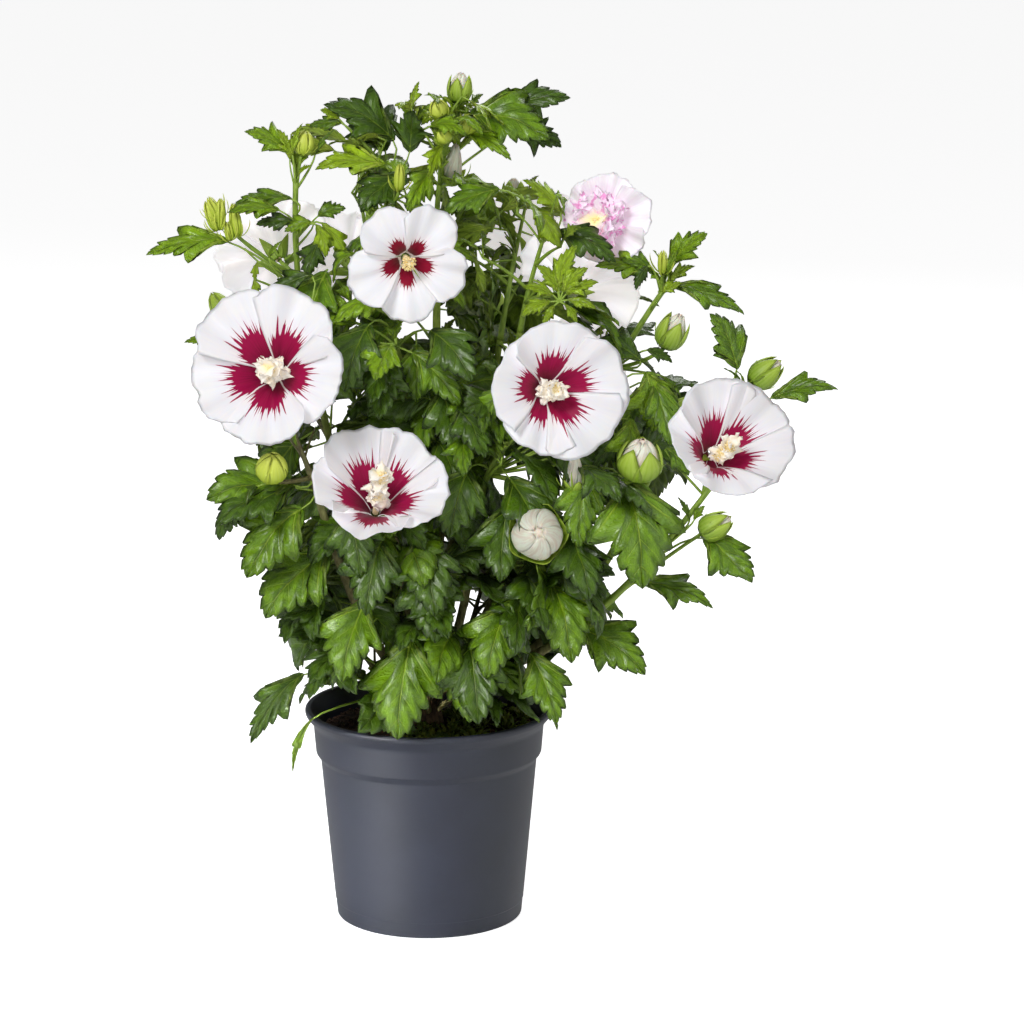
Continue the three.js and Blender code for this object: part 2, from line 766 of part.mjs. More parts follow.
// A tip with its place and direction. The twig to a bloom ends behind it, the twig to a leaf at
// the foot of its stalk.
function tipOf([kind, x, y, z, size, azimuth, pitch, share]) {
  const facing = pointing(azimuth, pitch);
  const place = new THREE.Vector3(x, y, z);
  const end = place.clone();
  if (kind === "bloom") end.addScaledVector(facing, -BLOOM.throat + BLOOM.sunk);
  if (kind === "leaf") end.addScaledVector(pointing(azimuth, pitch + LEAF.stalkRise), -LEAF.stalk * size);
  return { kind, place, size, azimuth, pitch, width: share, cup: share, facing, end };
}

const tips = Object.fromEntries(Object.entries(MASSES).map(([name, mass]) => [name, mass.tips.map(tipOf)]));
const blooms = Object.values(tips).flat().filter((tip) => tip.kind === "bloom");

// The stem of a mass goes on from its bough's tip, or starts on the main stem
function massStem(name, mass) {
  const crest = new THREE.Vector3(...mass.crest);
  const bough = curves[name];
  if (!bough) return rising(STEM_LINE.getPoint(mass.at), crest);
  const way = bough.getTangent(1).normalize();
  const foot = bough.getPoint(1).addScaledVector(way, GAP);
  const turn = foot.clone().addScaledVector(way, TWIG.stemReach * foot.distanceTo(crest));
  return new THREE.QuadraticBezierCurve3(foot, turn, crest);
}

// The fork on a stem from which a twig climbs to its end at the twigs' slope
function forkFor(stem, end) {
  let best = null;
  let least = Infinity;
  const [first, last] = TWIG.forks;
  for (let k = 0; first + k * TWIG.forkStep <= last + TWIG.forkStep / 2; k++) {
    const p = onLimb(stem, TWIG.stemSteps, first + k * TWIG.forkStep);
    const miss = Math.abs(end.z - p.z - TWIG.slope * Math.hypot(end.x - p.x, end.y - p.y));
    if (miss < least) {
      least = miss;
      best = p;
    }
  }
  return best;
}

// The twig to a tip meets a bloom or a bud from behind
function twigTo(stem, tip) {
  const foot = forkFor(stem, tip.end);
  if (tip.kind === "spray") return arc(foot, tip.end, TWIG.bow);
  const turn = tip.end.clone().addScaledVector(tip.facing, -TWIG.entry * foot.distanceTo(tip.end));
  turn.lerp(foot.clone().lerp(tip.end, 0.5), TWIG.straighten);
  return new THREE.QuadraticBezierCurve3(foot, turn, tip.end);
}

// Side twigs spread round the stem by the spiral, each with seeded rise and length
function sideTwigs(stem, mass, draw) {
  const list = [];
  for (let k = 0; k < mass.twigs; k++) {
    const t = SIDE.start + (SIDE.span * (k + draw())) / mass.twigs;
    const azimuth = mass.seed * SIDE.turn + k * LEAF.spiral + SIDE.sway * (draw() - 0.5);
    const rise = THREE.MathUtils.lerp(...SIDE.rise, draw());
    const long = mass.ball[3] * THREE.MathUtils.lerp(...SIDE.long, draw());
    const foot = onLimb(stem, TWIG.stemSteps, t);
    list.push(arc(foot, foot.clone().addScaledVector(pointing(azimuth, rise), long), TWIG.bow));
  }
  return list;
}

// Leaves along a shoot: one at each node, turned by the spiral, pointing away from the plant's
// middle and drooping. Those high up and near the shoot's end are smaller and narrower.
function leavesOn(shoot, draw) {
  const list = [];
  const { curve, steps } = shoot;
  const long = curve.getLength();
  const count = LEAF.tries * (Math.floor((long - LEAF.first) / LEAF.spacing) + 1);
  const phase = 360 * draw();
  for (let k = 0; k < count; k++) {
    const t = Math.min(LEAF.last, (LEAF.first + (k * LEAF.spacing) / LEAF.tries) / long);
    const [turn, droop, grow, roll] = [draw(), draw(), draw(), draw()];
    const frame = frameAt(curve, t);
    const angle = THREE.MathUtils.degToRad(phase + k * LEAF.spiral + LEAF.sway * (turn - 0.5));
    const out = new THREE.Vector3(frame.centre.x, frame.centre.y, 0);
    out.normalize().multiplyScalar(LEAF.outward);
    out.addScaledVector(frame.side, Math.cos(angle)).addScaledVector(frame.face, Math.sin(angle));
    const high = (frame.centre.z - LEAF.matureLevel) / (LEAF.youngLevel - LEAF.matureLevel);
    const young = THREE.MathUtils.clamp(high + LEAF.youngOutward * (t - 0.5), 0, 1);
    const length = THREE.MathUtils.lerp(LEAF.mature, LEAF.young, young) * (1 - LEAF.tipShrink * t);
    list.push({
      shoot,
      foot: onLimb(curve, steps, t),
      azimuth: THREE.MathUtils.radToDeg(Math.atan2(out.y, out.x)),
      pitch: THREE.MathUtils.lerp(...LEAF.droop, droop),
      roll: LEAF.rollSpan * (roll - 0.5),
      length: length * THREE.MathUtils.lerp(...LEAF.grow, grow),
      width: THREE.MathUtils.lerp(LEAF.width, LEAF.youngWidth, young * grow),
    });
  }
  return list;
}

// A spray of young leaves round a tip
function sprayLeaves(tip, draw) {
  const list = [];
  for (let k = 0; k < SPRAY.leaves; k++) {
    list.push({
      foot: tip.end,
      azimuth: tip.azimuth + k * SPRAY.turn + SPRAY.sway * draw(),
      pitch: THREE.MathUtils.lerp(...SPRAY.pitch, draw()),
      roll: SPRAY.sway * (draw() - 0.5),
      length: tip.size * THREE.MathUtils.lerp(...SPRAY.size, draw()),
      width: LEAF.youngWidth,
    });
  }
  return list;
}

// A solid with its box, for quick tests of whether two solids touch
function boxed(solid) {
  const { min, max } = solid.boundingBox();
  return { solid, box: new THREE.Box3(new THREE.Vector3(...min), new THREE.Vector3(...max)) };
}

function touches(one, list) {
  return list.filter((other) => one.box.intersectsBox(other.box))
    .some((other) => !one.solid.intersect(other.solid).isEmpty());
}

function twigShoot(curve) {
  const solid = solidOf(limb(curve, [TWIG.radius, TWIG.tipRadius], TWIG.sides, TWIG.steps));
  return { curve, steps: TWIG.steps, ...boxed(solid) };
}

// The frame of a mass: its stem, and the twigs to its tips with their blooms and buds
function frameOf(name, mass) {
  const stem = massStem(name, mass);
  const bough = BOUGHS[name];
  const radii = [bough ? bough.radii[1] : TWIG.stemRadius, TWIG.stemRadius];
  let solid = solidOf(limb(stem, radii, TWIG.stemSides, TWIG.stemSteps));
  if (!bough) solid = solid.subtract(rooms.main_stem);
  const shoots = [{ curve: stem, steps: TWIG.stemSteps, ...boxed(solid) }];
  const ends = [];
  for (const tip of tips[name]) {
    if (tip.kind !== "leaf") shoots.push(twigShoot(twigTo(stem, tip)));
    if (tip.kind === "bloom") ends.push(boxed(bloomSolid(tip)));
    if (tip.kind === "bud") ends.push(boxed(budSolid(tip)));
  }
  return { stem, shoots, ends, blades: [], leaves: [] };
}

const frames = Object.fromEntries(Object.entries(MASSES).map(([name, mass]) => [name, frameOf(name, mass)]));
const fixtures = [boxed(solidOf(potGeometry())), boxed(limbRoom)];
const partsOf = (frame) => [...frame.shoots, ...frame.ends, ...frame.leaves];

// All that a mass has to stay clear of
function neighbours(own) {
  return [...fixtures, ...Object.values(frames).filter((frame) => frame !== own).flatMap(partsOf)];
}

// A leaf is added to its mass if it touches nothing but the shoot that it stands on. The stalk of
// a leaf with its own start may pass the parts of its mass.
function addLeaf(frame, leaf, busy) {
  const whole = boxed(leafSolid(leaf));
  const blade = leaf.from ? boxed(leafSolid({ ...leaf, from: null })) : whole;
  const foreign = leaf.shoot ? frame.shoots.filter((shoot) => shoot !== leaf.shoot) : [];
  if (touches(whole, busy) || touches(blade, [...frame.blades, ...frame.ends, ...foreign])) return;
  frame.blades.push(blade);
  frame.leaves.push(whole);
}

// The leaves at the tips come first, and start from the stem of their mass
for (const [name, frame] of Object.entries(frames)) {
  const busy = neighbours(frame);
  for (const tip of tips[name].filter(({ kind }) => kind === "leaf")) {
    const from = forkFor(frame.stem, tip.end);
    addLeaf(frame, { ...tip, from, foot: tip.end, roll: 0, length: tip.size, fixed: true }, busy);
  }
}

// Then each mass grows side twigs, sprays and leaves within its own space
Object.entries(MASSES).forEach(([name, mass], own) => {
  const draw = seeded(mass.seed);
  const frame = frames[name];
  const busy = neighbours(frame);
  const reach = BALLS[own].radius + BORDER.reach;
  const fits = (p) => inside(p, own) > BORDER.edge && clearOfPot(p) && clearOfBlooms(p);

  for (const curve of sideTwigs(frame.stem, mass, draw)) {
    const shoot = twigShoot(curve);
    const roomy = SIDE.tests.every((t) => fits(curve.getPoint(t)));
    if (roomy && !touches(shoot, busy)) frame.shoots.push(shoot);
  }
  const sprays = tips[name].filter(({ kind }) => kind === "spray").flatMap((tip) => sprayLeaves(tip, draw));
  const leaves = mass.tipsOnly ? [] : frame.shoots.flatMap((shoot) => leavesOn(shoot, draw));
  for (const leaf of [...sprays, ...leaves]) {
    const points = leafPoints(leaf);
    const middle = points[2].clone().lerp(points[3], 0.5);
    const near = points.every((p) => p.distanceTo(BALLS[own].centre) < reach);
    const roomy = inside(middle, own) > BORDER.middle && points.every(fits);
    if (near && roomy && bladePoints(leaf).every(clearOfOpenings)) addLeaf(frame, leaf, busy);
  }
  const solid = partsOf(frame).map((part) => part.solid).reduce((sum, more) => sum.add(more));
  piece("foliage_" + name, geometryOf(solid), GREEN);
});

export default group;
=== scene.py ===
# %% [markdown]
# # A potted hibiscus, dressed leaf by leaf
# The object is a young garden hibiscus in a round plastic nursery pot. White blooms with a crimson eye
# stand out of toothed, three-lobed leaves. A plain frame of solids gives the pot, the limbs and the space
# of every mass of foliage. This lesson grows the real surface of each one on that frame.

# %% The frame
import math

import bpy
import numpy as np
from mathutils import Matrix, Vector, noise


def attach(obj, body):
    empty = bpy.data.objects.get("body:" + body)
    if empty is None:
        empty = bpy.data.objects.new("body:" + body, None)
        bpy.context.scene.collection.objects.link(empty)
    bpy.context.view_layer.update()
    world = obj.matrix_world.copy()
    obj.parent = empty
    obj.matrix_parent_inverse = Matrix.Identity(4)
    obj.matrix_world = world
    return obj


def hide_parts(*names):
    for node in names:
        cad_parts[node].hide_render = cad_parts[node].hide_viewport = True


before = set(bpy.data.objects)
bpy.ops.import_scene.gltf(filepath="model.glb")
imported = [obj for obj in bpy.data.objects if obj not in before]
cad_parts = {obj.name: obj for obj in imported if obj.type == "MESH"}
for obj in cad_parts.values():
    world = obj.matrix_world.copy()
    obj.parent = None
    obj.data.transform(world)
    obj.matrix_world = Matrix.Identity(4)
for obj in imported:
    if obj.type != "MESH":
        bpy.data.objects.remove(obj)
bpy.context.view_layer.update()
MM = 0.001
masses_in_frame = sorted(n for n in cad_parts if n.startswith("foliage_"))
print("frame:", len(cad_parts), "nodes,", len(masses_in_frame), "masses of foliage")

# %% [markdown]
# ## Draws and directions
# A plant needs thousands of small differences, and they have to be the same in every run. A short formula
# that turns one whole number into the next gives such a row of draws from a seed, on any machine.
# Directions are an azimuth from +X and a pitch above the level, in degrees, as a grower would say them.

# %% Draws and directions
DRAW_GROWTH = 1664525
DRAW_STEP = 1013904223
DRAW_ROUND = 4294967296
SEED_SPREAD = 7919
SEED_START = 12345
WARM_UP = 4
TURN = 2 * math.pi
# Where a wave may start, in radians
PHASE = (0, 6)


class Draws:
    """A row of numbers that is the same each time for one seed."""

    def __init__(self, seed):
        self.state = seed * SEED_SPREAD + SEED_START
        for _ in range(WARM_UP):
            self()

    def __call__(self, low=0.0, high=1.0):
        self.state = (self.state * DRAW_GROWTH + DRAW_STEP) % DRAW_ROUND
        return low + (high - low) * self.state / DRAW_ROUND


def point(*numbers):
    return np.array(numbers, float)


def unit(v):
    return v / np.linalg.norm(v)


def mix(a, b, t):
    return a + (b - a) * t


def pointing(azimuth, pitch):
    a = math.radians(azimuth)
    p = math.radians(pitch)
    return point(math.cos(a) * math.cos(p), math.sin(a) * math.cos(p), math.sin(p))


UP = point(0, 0, 1)
print("first draws of seed 11:", [round(Draws(11)(), 4)])

# %% [markdown]
# ## The plan of the plant
# These are the measures of the frame, in millimetres: the pot, the soil, the main stem, the boughs and the
# masses. A bough has its holder, the share of the holder at which it leaves, its end and two radii. A mass
# has a ball that gives it its space, a crest where its own stem ends, a count of side twigs, a seed, and
# its tips. A low one starts at a share of the main stem, and one with no side twigs grows no leaves but its
# tips and a tuft. A tip is a kind, a place, a size, an azimuth and a pitch. Leaves have a width and a tint
# after that, blooms a cup and a look, and buds a look. The cup says how far a bloom's rim stands before its
# middle, as a share of its radius.

# %% Pot, soil, stem and boughs
POT = {
    "height": 164, "lip": 95, "lip_inner": 90.6, "lip_level": 161.2, "collar_top": 152,
    "collar_top_radius": 88.6, "collar_foot": 129.4, "collar_foot_radius": 86.7, "body_top": 124.5,
    "body_top_radius": 83.1, "base": 71.3, "wall": 2.2, "floor": 3,
}
SOIL = {"level": 147, "crown": 149.2, "radius": 85.2}
STEM = {
    "foot": 149.5, "fork": 198, "lean": (3, 1), "flare_radius": 13, "flare_reach": 0.4,
    "radius": 8.4, "top_radius": 7,
}
GAP = 0.3
BOUGH = {"out_first": 0.6, "rise_last": 0.28}
BOUGHS = {
    "top": ("main_stem", 1, (8, 2, 540), (6.2, 2.3)),
    "left": ("main_stem", 0.28, (-80, -82, 343), (4.4, 2.8)),
    "front_left": ("main_stem", 0.72, (-22, -52, 296), (3.4, 2.4)),
    "front_right": ("main_stem", 0.3, (40, -60, 340), (3.9, 2.6)),
    "right": ("main_stem", 0.66, (98, -38, 224), (4.4, 3.2)),
    "back_right": ("main_stem", 0.4, (84, 50, 335), (4.0, 2.7)),
    "back": ("main_stem", 0.66, (12, 74, 330), (3.8, 2.6)),
    "back_left": ("main_stem", 0.36, (-70, 52, 340), (4.0, 2.7)),
    "upper_left": ("main_stem", 0.56, (-90, -16, 455), (4.0, 2.4)),
    "far_right": ("right", 0.55, (160, -28, 334), (3.3, 2.6)),
    "upper_right": ("top", 0.16, (70, -4, 455), (3.6, 2.5)),
    "high_right": ("upper_right", 0.34, (132, -4, 408), (3.0, 2.5)),
    "inner": ("top", 0.22, (26, -20, 306), (2.8, 2.2)),
    "centre": ("top", 0.42, (-26, -30, 432), (3.2, 2.4)),
    "upper_back_left": ("top", 0.34, (-36, 52, 452), (3.4, 2.4)),
    "upper_back_right": ("top", 0.26, (56, 48, 440), (3.4, 2.4)),
    "top_left": ("top", 0.62, (-42, 10, 520), (2.9, 2.2)),
}
print(len(BOUGHS), "boughs")

# %% The masses
MASSES = {
    "low_left": dict(at=0.13, ball=(-82, -42, 238, 58), crest=(-84, -52, 288), twigs=3, seed=11, tips=[
        ("leaf", -72, -84, 306, 72, -152, -34, 0.85, "green"),
        ("leaf", -93, -76, 210, 67, -151, -41, 0.46, "deep"),
    ]),
    "low_front": dict(at=0.1, ball=(0, -74, 236, 52), crest=(-4, -70, 282), twigs=3, seed=23, tips=[
        ("leaf", -12, -88, 241, 80, -109, -58, 0.8, "green"),
        ("leaf", -46, -92, 270, 66, -122, -53, 0.8, "green"),
        ("leaf", 60, -84, 265, 62, -121, -50, 0.85, "green"),
        ("leaf", -6, -84, 297, 66, -72, -50, 0.8, "deep"),
        ("leaf", 30, -86, 236, 66, -80, -50, 0.8, "deep"),
    ]),
    "low_right": dict(at=0.15, ball=(78, -38, 238, 50), crest=(86, -52, 300), twigs=3, seed=35, tips=[
        ("leaf", 76, -76, 224, 59, -56, -49, 0.7, "green"),
        ("bud", 80, -90, 318, 46, -90, 15, "globe"),
        ("leaf", 58, -84, 338, 60, -100, -52, 0.8, "deep"),
        ("leaf", 104, -84, 322, 60, -66, -48, 0.8, "deep"),
        ("leaf", 92, -76, 280, 68, -70, -48, 0.85, "green"),
    ]),
    "low_back_left": dict(at=0.12, ball=(-62, 66, 245, 56), crest=(-48, 84, 290), twigs=7, seed=47, tips=[]),
    "low_back_right": dict(at=0.11, ball=(66, 66, 245, 56), crest=(54, 80, 290), twigs=7, seed=59, tips=[]),
    "inner": dict(ball=(22, -22, 376, 56), crest=(22, -40, 424), twigs=8, seed=61, tips=[]),
    "left": dict(ball=(-124, -68, 404, 60), crest=(-110, -84, 420), twigs=3, seed=73, tips=[
        ("bloom", -113, -120, 449, 58, -99, 16, 0.3, "double"),
        ("leaf", -99, -94, 357, 66, -165, 0, 0.75, "green"),
        ("leaf", -91, -98, 342, 69, -149, -39, 0.8, "green"),
        ("bud", -114, -112, 366, 25, -80, 55, "ball"),
        ("leaf", -60, -92, 340, 55, -66, -56, 0.8, "deep"),
        ("leaf", -150, -60, 458, 30, -161, 8, 0.5, "fresh"),
    ]),
    "front_left": dict(ball=(-34, -92, 348, 50), crest=(-30, -84, 352), twigs=5, seed=85, tips=[
        ("bloom", -37, -109, 348, 50, -82, 46, 0.6, "cup"),
        ("leaf", -8, -92, 318, 66, -70, -48, 0.8, "deep"),
        ("leaf", -34, -96, 316, 60, -112, -52, 0.8, "deep"),
    ]),
    "front_right": dict(ball=(98, -78, 398, 56), crest=(88, -80, 408), twigs=5, seed=97, tips=[
        ("bloom", 93, -110, 430, 51, -76, 7, 0.36, "round"),
        ("leaf", 30, -80, 366, 60, -112, -43, 0.85, "deep"),
        ("leaf", 145, -86, 361, 86, -66, -63, 0.9, "green"),
        ("leaf", 166, -62, 428, 52, -60, -56, 0.6, "green"),
        ("leaf", 150, -76, 402, 50, -100, -56, 0.6, "fresh"),
        ("leaf", 118, -92, 366, 58, -112, -62, 0.7, "green"),
        ("bud", 154, -92, 361, 35, -76, 66, "plump"),
    ]),
    "right": dict(ball=(186, -54, 306, 62), crest=(211, -60, 348), twigs=0, seed=109, tips=[
        ("bloom", 217, -74, 382, 50, -65, 28, 0.45, "funnel"),
        ("leaf", 111, -55, 240, 65, -21, -25, 0.75, "green"),
        ("leaf", 159, -58, 274, 59, -16, -11, 0.5, "green"),
        ("leaf", 205, -62, 309, 52, -34, -30, 0.85, "green"),
        ("bud", 203, -64, 312, 27, -14, 32, "parting"),
    ]),
    "far_right": dict(ball=(232, -16, 424, 42), crest=(240, -26, 408), twigs=0, seed=121, tips=[
        ("bud", 244, -20, 418, 28, -16, 40, "parting"),
        ("leaf", 257, -32, 409, 52, -13, 16, 0.5, "green"),
        ("leaf", 232, -26, 430, 48, 180, 70, 0.85, "green"),
    ]),
    "centre": dict(ball=(-16, -54, 486, 50), crest=(-16, -56, 490), twigs=6, seed=133, tips=[
        ("bloom", -14, -93, 522, 45, -85, -3, 0.25, "single"),
        ("leaf", 2, -74, 469, 56, -45, -32, 0.8, "deep"),
        ("leaf", -42, -74, 474, 58, -122, -48, 0.8, "deep"),
        ("leaf", -30, -66, 448, 52, -100, -50, 0.8, "deep"),
    ]),
    "back_left": dict(ball=(-98, 70, 396, 62), crest=(-100, 74, 430), twigs=5, seed=145, tips=[
        ("bloom", -130, 118, 418, 52, 132, 14, 0.3, "round"),
        ("bud", -150, 60, 452, 28, 160, 55, "green"),
    ]),
    "back": dict(ball=(14, 100, 388, 60), crest=(12, 104, 428), twigs=6, seed=157, tips=[
        ("bloom", 6, 152, 362, 52, 96, 10, 0.3, "double"),
        ("bud", 50, 140, 436, 30, 70, 60, "opening"),
    ]),
    "back_right": dict(ball=(118, 72, 388, 60), crest=(122, 76, 428), twigs=4, seed=169, tips=[
        ("bloom", 114, 118, 396, 52, 38, 12, 0.3, "funnel"),
        ("bud", 184, 50, 372, 30, 10, 45, "green"),
    ]),
    "upper_left": dict(ball=(-124, -24, 528, 56), crest=(-96, -30, 572), twigs=0, seed=181, tips=[
        ("bloom", -114, 6, 514, 45, 106, 12, 0.3, "ruffled"),
        ("bud", -92, -30, 592, 19, -40, 74, "lime"),
        ("leaf", -146, -42, 530, 62, -170, -3, 0.5, "fresh"),
        ("bud", -151, -42, 546, 20, -150, 60, "slim"),
        ("leaf", -74, -40, 506, 58, -122, -52, 0.8, "green"),
        ("leaf", -100, -32, 594, 38, -170, 32, 0.6, "fresh"),
        ("leaf", -108, -36, 552, 42, -155, 7, 0.5, "fresh"),
    ]),
    "top_left": dict(ball=(-50, 6, 584, 44), crest=(-34, 0, 588), twigs=2, seed=193, tips=[
        ("leaf", -23, -2, 599, 62, -168, 34, 0.62, "deep"),
        ("leaf", -12, -14, 592, 38, -80, 66, 0.9, "deep"),
        ("leaf", -30, -26, 584, 54, -168, 4, 0.5, "lime"),
        ("leaf", -20, -22, 576, 44, -143, -29, 0.8, "deep"),
        ("bud", -20, -40, 566, 22, -80, 75, "slim"),
    ]),
    "top": dict(ball=(32, -2, 602, 46), crest=(20, -10, 612), twigs=3, seed=205, tips=[
        ("bud", 24, -8, 628, 24, -60, 78, "opening"),
        ("leaf", 31, -6, 619, 66, -15, -9, 0.8, "green"),
        ("leaf", 58, 4, 620, 52, -7, 18, 0.6, "deep"),
        ("leaf", 28, -14, 606, 48, -38, -15, 0.4, "fresh"),
        ("bud", 12, -22, 618, 16, -130, 60, "lime"),
    ]),
    "upper_right": dict(ball=(98, -6, 518, 56), crest=(94, -16, 548), twigs=5, seed=217, tips=[
        ("bloom", 137, 4, 540, 35, -112, 2, 0.2, "faded"),
        ("bloom", 112, 18, 488, 50, 60, 20, 0.3, "ruffled"),
        ("leaf", 54, -28, 566, 46, -167, -16, 0.6, "green"),
        ("leaf", 100, -14, 546, 42, -157, 46, 0.5, "lime"),
        ("leaf", 96, -24, 534, 52, -15, -19, 0.6, "deep"),
        ("spray", 97, -78, 490, 34, -90, 70),
    ]),
    "high_right": dict(ball=(182, -4, 482, 44), crest=(178, -8, 488), twigs=0, seed=229, tips=[
        ("leaf", 184, -10, 490, 59, -16, -14, 0.45, "green"),
        ("leaf", 182, -8, 505, 42, -32, 47, 0.6, "fresh"),
        ("leaf", 169, -10, 503, 46, -167, 10, 0.5, "fresh"),
        ("bud", 177, -24, 446, 31, -30, 62, "opening"),
        ("bud", 176, -14, 500, 20, -90, 70, "slim"),
    ]),
    "upper_back_left": dict(ball=(-46, 78, 512, 56), crest=(-52, 76, 556), twigs=6, seed=241, tips=[
        ("bloom", -62, 72, 498, 40, 112, 16, 0.3, "ruffled"),
        ("bud", -48, 70, 576, 24, 110, 75, "green"),
    ]),
    "upper_back_right": dict(ball=(76, 76, 504, 58), crest=(78, 76, 548), twigs=6, seed=253, tips=[
        ("bloom", 86, 120, 498, 50, 70, 20, 0.3, "round"),
        ("bud", 66, 60, 540, 24, 80, 75, "opening"),
    ]),
}
# Leaves and buds that are too small for the frame, in the order of their draws, by the mass that
# carries them
SMALL_LEAVES = [
    ("top", [(66, 8, 605, 38, 0, -14, 0.85, "deep")]),
    ("low_left", [(-86, -92, 180, 46, 180, -64, 0.16, "fresh")]),
    ("top_left", [
        (-64, -10, 616, 16, 180, 32, 0.7, "lime"), (-62, -10, 613, 25, 180, 0, 0.55, "green"),
        (-30, 8, 590, 50, 150, 52, 0.9, "deep"),
    ]),
    ("high_right", [
        (170, -14, 502, 28, 180, 26, 0.6, "green"), (165, -18, 507, 21, 180, -58, 0.6, "deep"),
        (175, -20, 487, 17, 0, 31, 0.7, "lime"), (180, -18, 498, 23, 0, 76, 0.4, "fresh"),
        (158, -45, 440, 36, 180, 33, 0.8, "deep"), (163, -40, 447, 22, 0, -21, 0.6, "deep"),
    ]),
    ("front_right", [
        (160, -70, 436, 47, 0, -76, 0.95, "fresh"), (159, -62, 415, 31, 180, -59, 0.6, "green"),
    ]),
    ("high_right", [(173, -40, 428, 24, 0, -40, 0.32, "green")]),
    ("right", [
        (176, -66, 378, 28, 0, -44, 0.75, "green"), (195, -62, 322, 21, 180, 68, 0.35, "green"),
        (198, -66, 323, 14, 0, 61, 0.6, "fresh"),
    ]),
    ("front_right", [(143, -80, 387, 30, 180, -40, 0.7, "deep")]),
    ("upper_left", [
        (-100, -34, 589, 25, 180, 74, 0.5, "lime"), (-98, -38, 592, 26, 0, 78, 0.32, "lime"),
        (-82, -30, 591, 25, 0, 59, 0.2, "green"), (-99, -34, 560, 45, 180, -1, 0.42, "green"),
        (-98, -36, 543, 28, 180, 2, 0.6, "deep"), (-84, -44, 544, 22, 180, -13, 0.75, "fresh"),
        (-81, -48, 543, 26, 0, -69, 0.62, "lime"), (-77, -46, 544, 35, 0, -53, 0.5, "lime"),
        (-80, -40, 548, 22, 0, 20, 0.75, "green"), (-78, -40, 530, 30, 180, -64, 0.8, "deep"),
    ]),
    ("left", [(-83, -60, 507, 37, 180, -18, 0.55, "deep")]),
    ("upper_left", [
        (-124, -50, 516, 17, 180, -79, 0.4, "lime"), (-116, -50, 518, 17, 0, 59, 0.35, "fresh"),
        (-127, -54, 503, 14, 0, -79, 0.6, "lime"),
    ]),
]
SMALL_BUDS = [
    ("top", [(18, 10, 565, 38, -75, 62, "spent")]),
    ("front_right", [(108, -96, 352, 34, -95, 78, "spent")]),
    ("top", [
        (30, -16, 606, 16, -60, 66, "lime"), (16, -20, 600, 14, -140, 50, "lime"),
    ]),
    ("upper_left", [
        (-154, -42, 537, 24, 180, 71, "slim"), (-152, -44, 538, 24, 0, 87, "slim"),
        (-139, -40, 532, 26, 180, 83, "slim"), (-144, -44, 530, 15, 180, 80, "slim"),
    ]),
]
BALLS = np.array([mass["ball"] for mass in MASSES.values()], float)
print(len(MASSES), "masses with", sum(len(mass["tips"]) for mass in MASSES.values()), "tips")

# %% [markdown]
# ## The camera
# The photographer stood 2.8 metres away, a little above the plant, with a long lens. A camera is made of a
# place, a turn and a lens, and these come from the ellipses of the pot's rim, collar and foot.

# %% The camera
EYE = (0.0, -2.8, 0.9272)
EYE_YAW = 1.3093
EYE_PITCH = 12.316
LENS = 132.6
FILM = 36.0

camera = bpy.data.objects.new("camera", bpy.data.cameras.new("camera"))
bpy.context.scene.collection.objects.link(camera)
camera.data.lens = LENS
camera.data.sensor_width = FILM
camera.location = EYE
camera.rotation_euler = (math.radians(90 - EYE_PITCH), 0, math.radians(-EYE_YAW))
bpy.context.scene.camera = camera
print("camera at", EYE, "with a", LENS, "mm lens")

# %% [markdown]
# ## Shader maths as Python
# A leaf's veins or a petal's eye are formulas over the surface. Wiring each Math node by hand hides the
# formula, so a small class stands for a number inside a material: adding or multiplying it adds the node.
# Colours are mixed by their own node, because a Math node would turn them grey.

# %% Values and finishes
SHEET_MAP = "OFBake"
MAP_LOW = 0.02
MAP_HALF = 0.46
MAP_UPPER = 0.5
# The outputs for a place on the piece itself and for its height
ON_PIECE = 3
HEIGHT = 2


def paint(red, green, blue):
    """A colour given as on a screen, as the linear light that shaders work in."""
    def linear(c):
        c = c / 255
        return c / 12.92 if c <= 0.04045 else ((c + 0.055) / 1.055) ** 2.4
    return (linear(red), linear(green), linear(blue), 1.0)


class Value:
    """A number inside a material. Sums and products of values add Math nodes."""

    def __init__(self, finish, socket):
        self.finish = finish
        self.socket = socket

    def maths(self, operation, *numbers):
        return self.finish.node("ShaderNodeMath", {"operation": operation}, *numbers)

    def __add__(self, other):
        return self.maths("ADD", self, other)

    def __sub__(self, other):
        return self.maths("SUBTRACT", self, other)

    def __rsub__(self, other):
        return self.maths("SUBTRACT", other, self)

    def __mul__(self, other):
        return self.maths("MULTIPLY", self, other)

    def __truediv__(self, other):
        return self.maths("DIVIDE", self, other)

    def __pow__(self, other):
        return self.maths("POWER", self, other)

    def __gt__(self, other):
        return self.maths("GREATER_THAN", self, other)

    def __abs__(self):
        return self.maths("ABSOLUTE", self)

    __radd__ = __add__
    __rmul__ = __mul__

    def whole(self):
        return self.maths("FLOOR", self)

    def rest(self):
        return self.maths("FRACT", self)

    def rises(self, low, high):
        """0 below low, 1 above high, smooth between. With low above high it falls."""
        return self.finish.node(
            "ShaderNodeMapRange", {"interpolation_type": "SMOOTHSTEP"}, self, low, high, 0.0, 1.0)


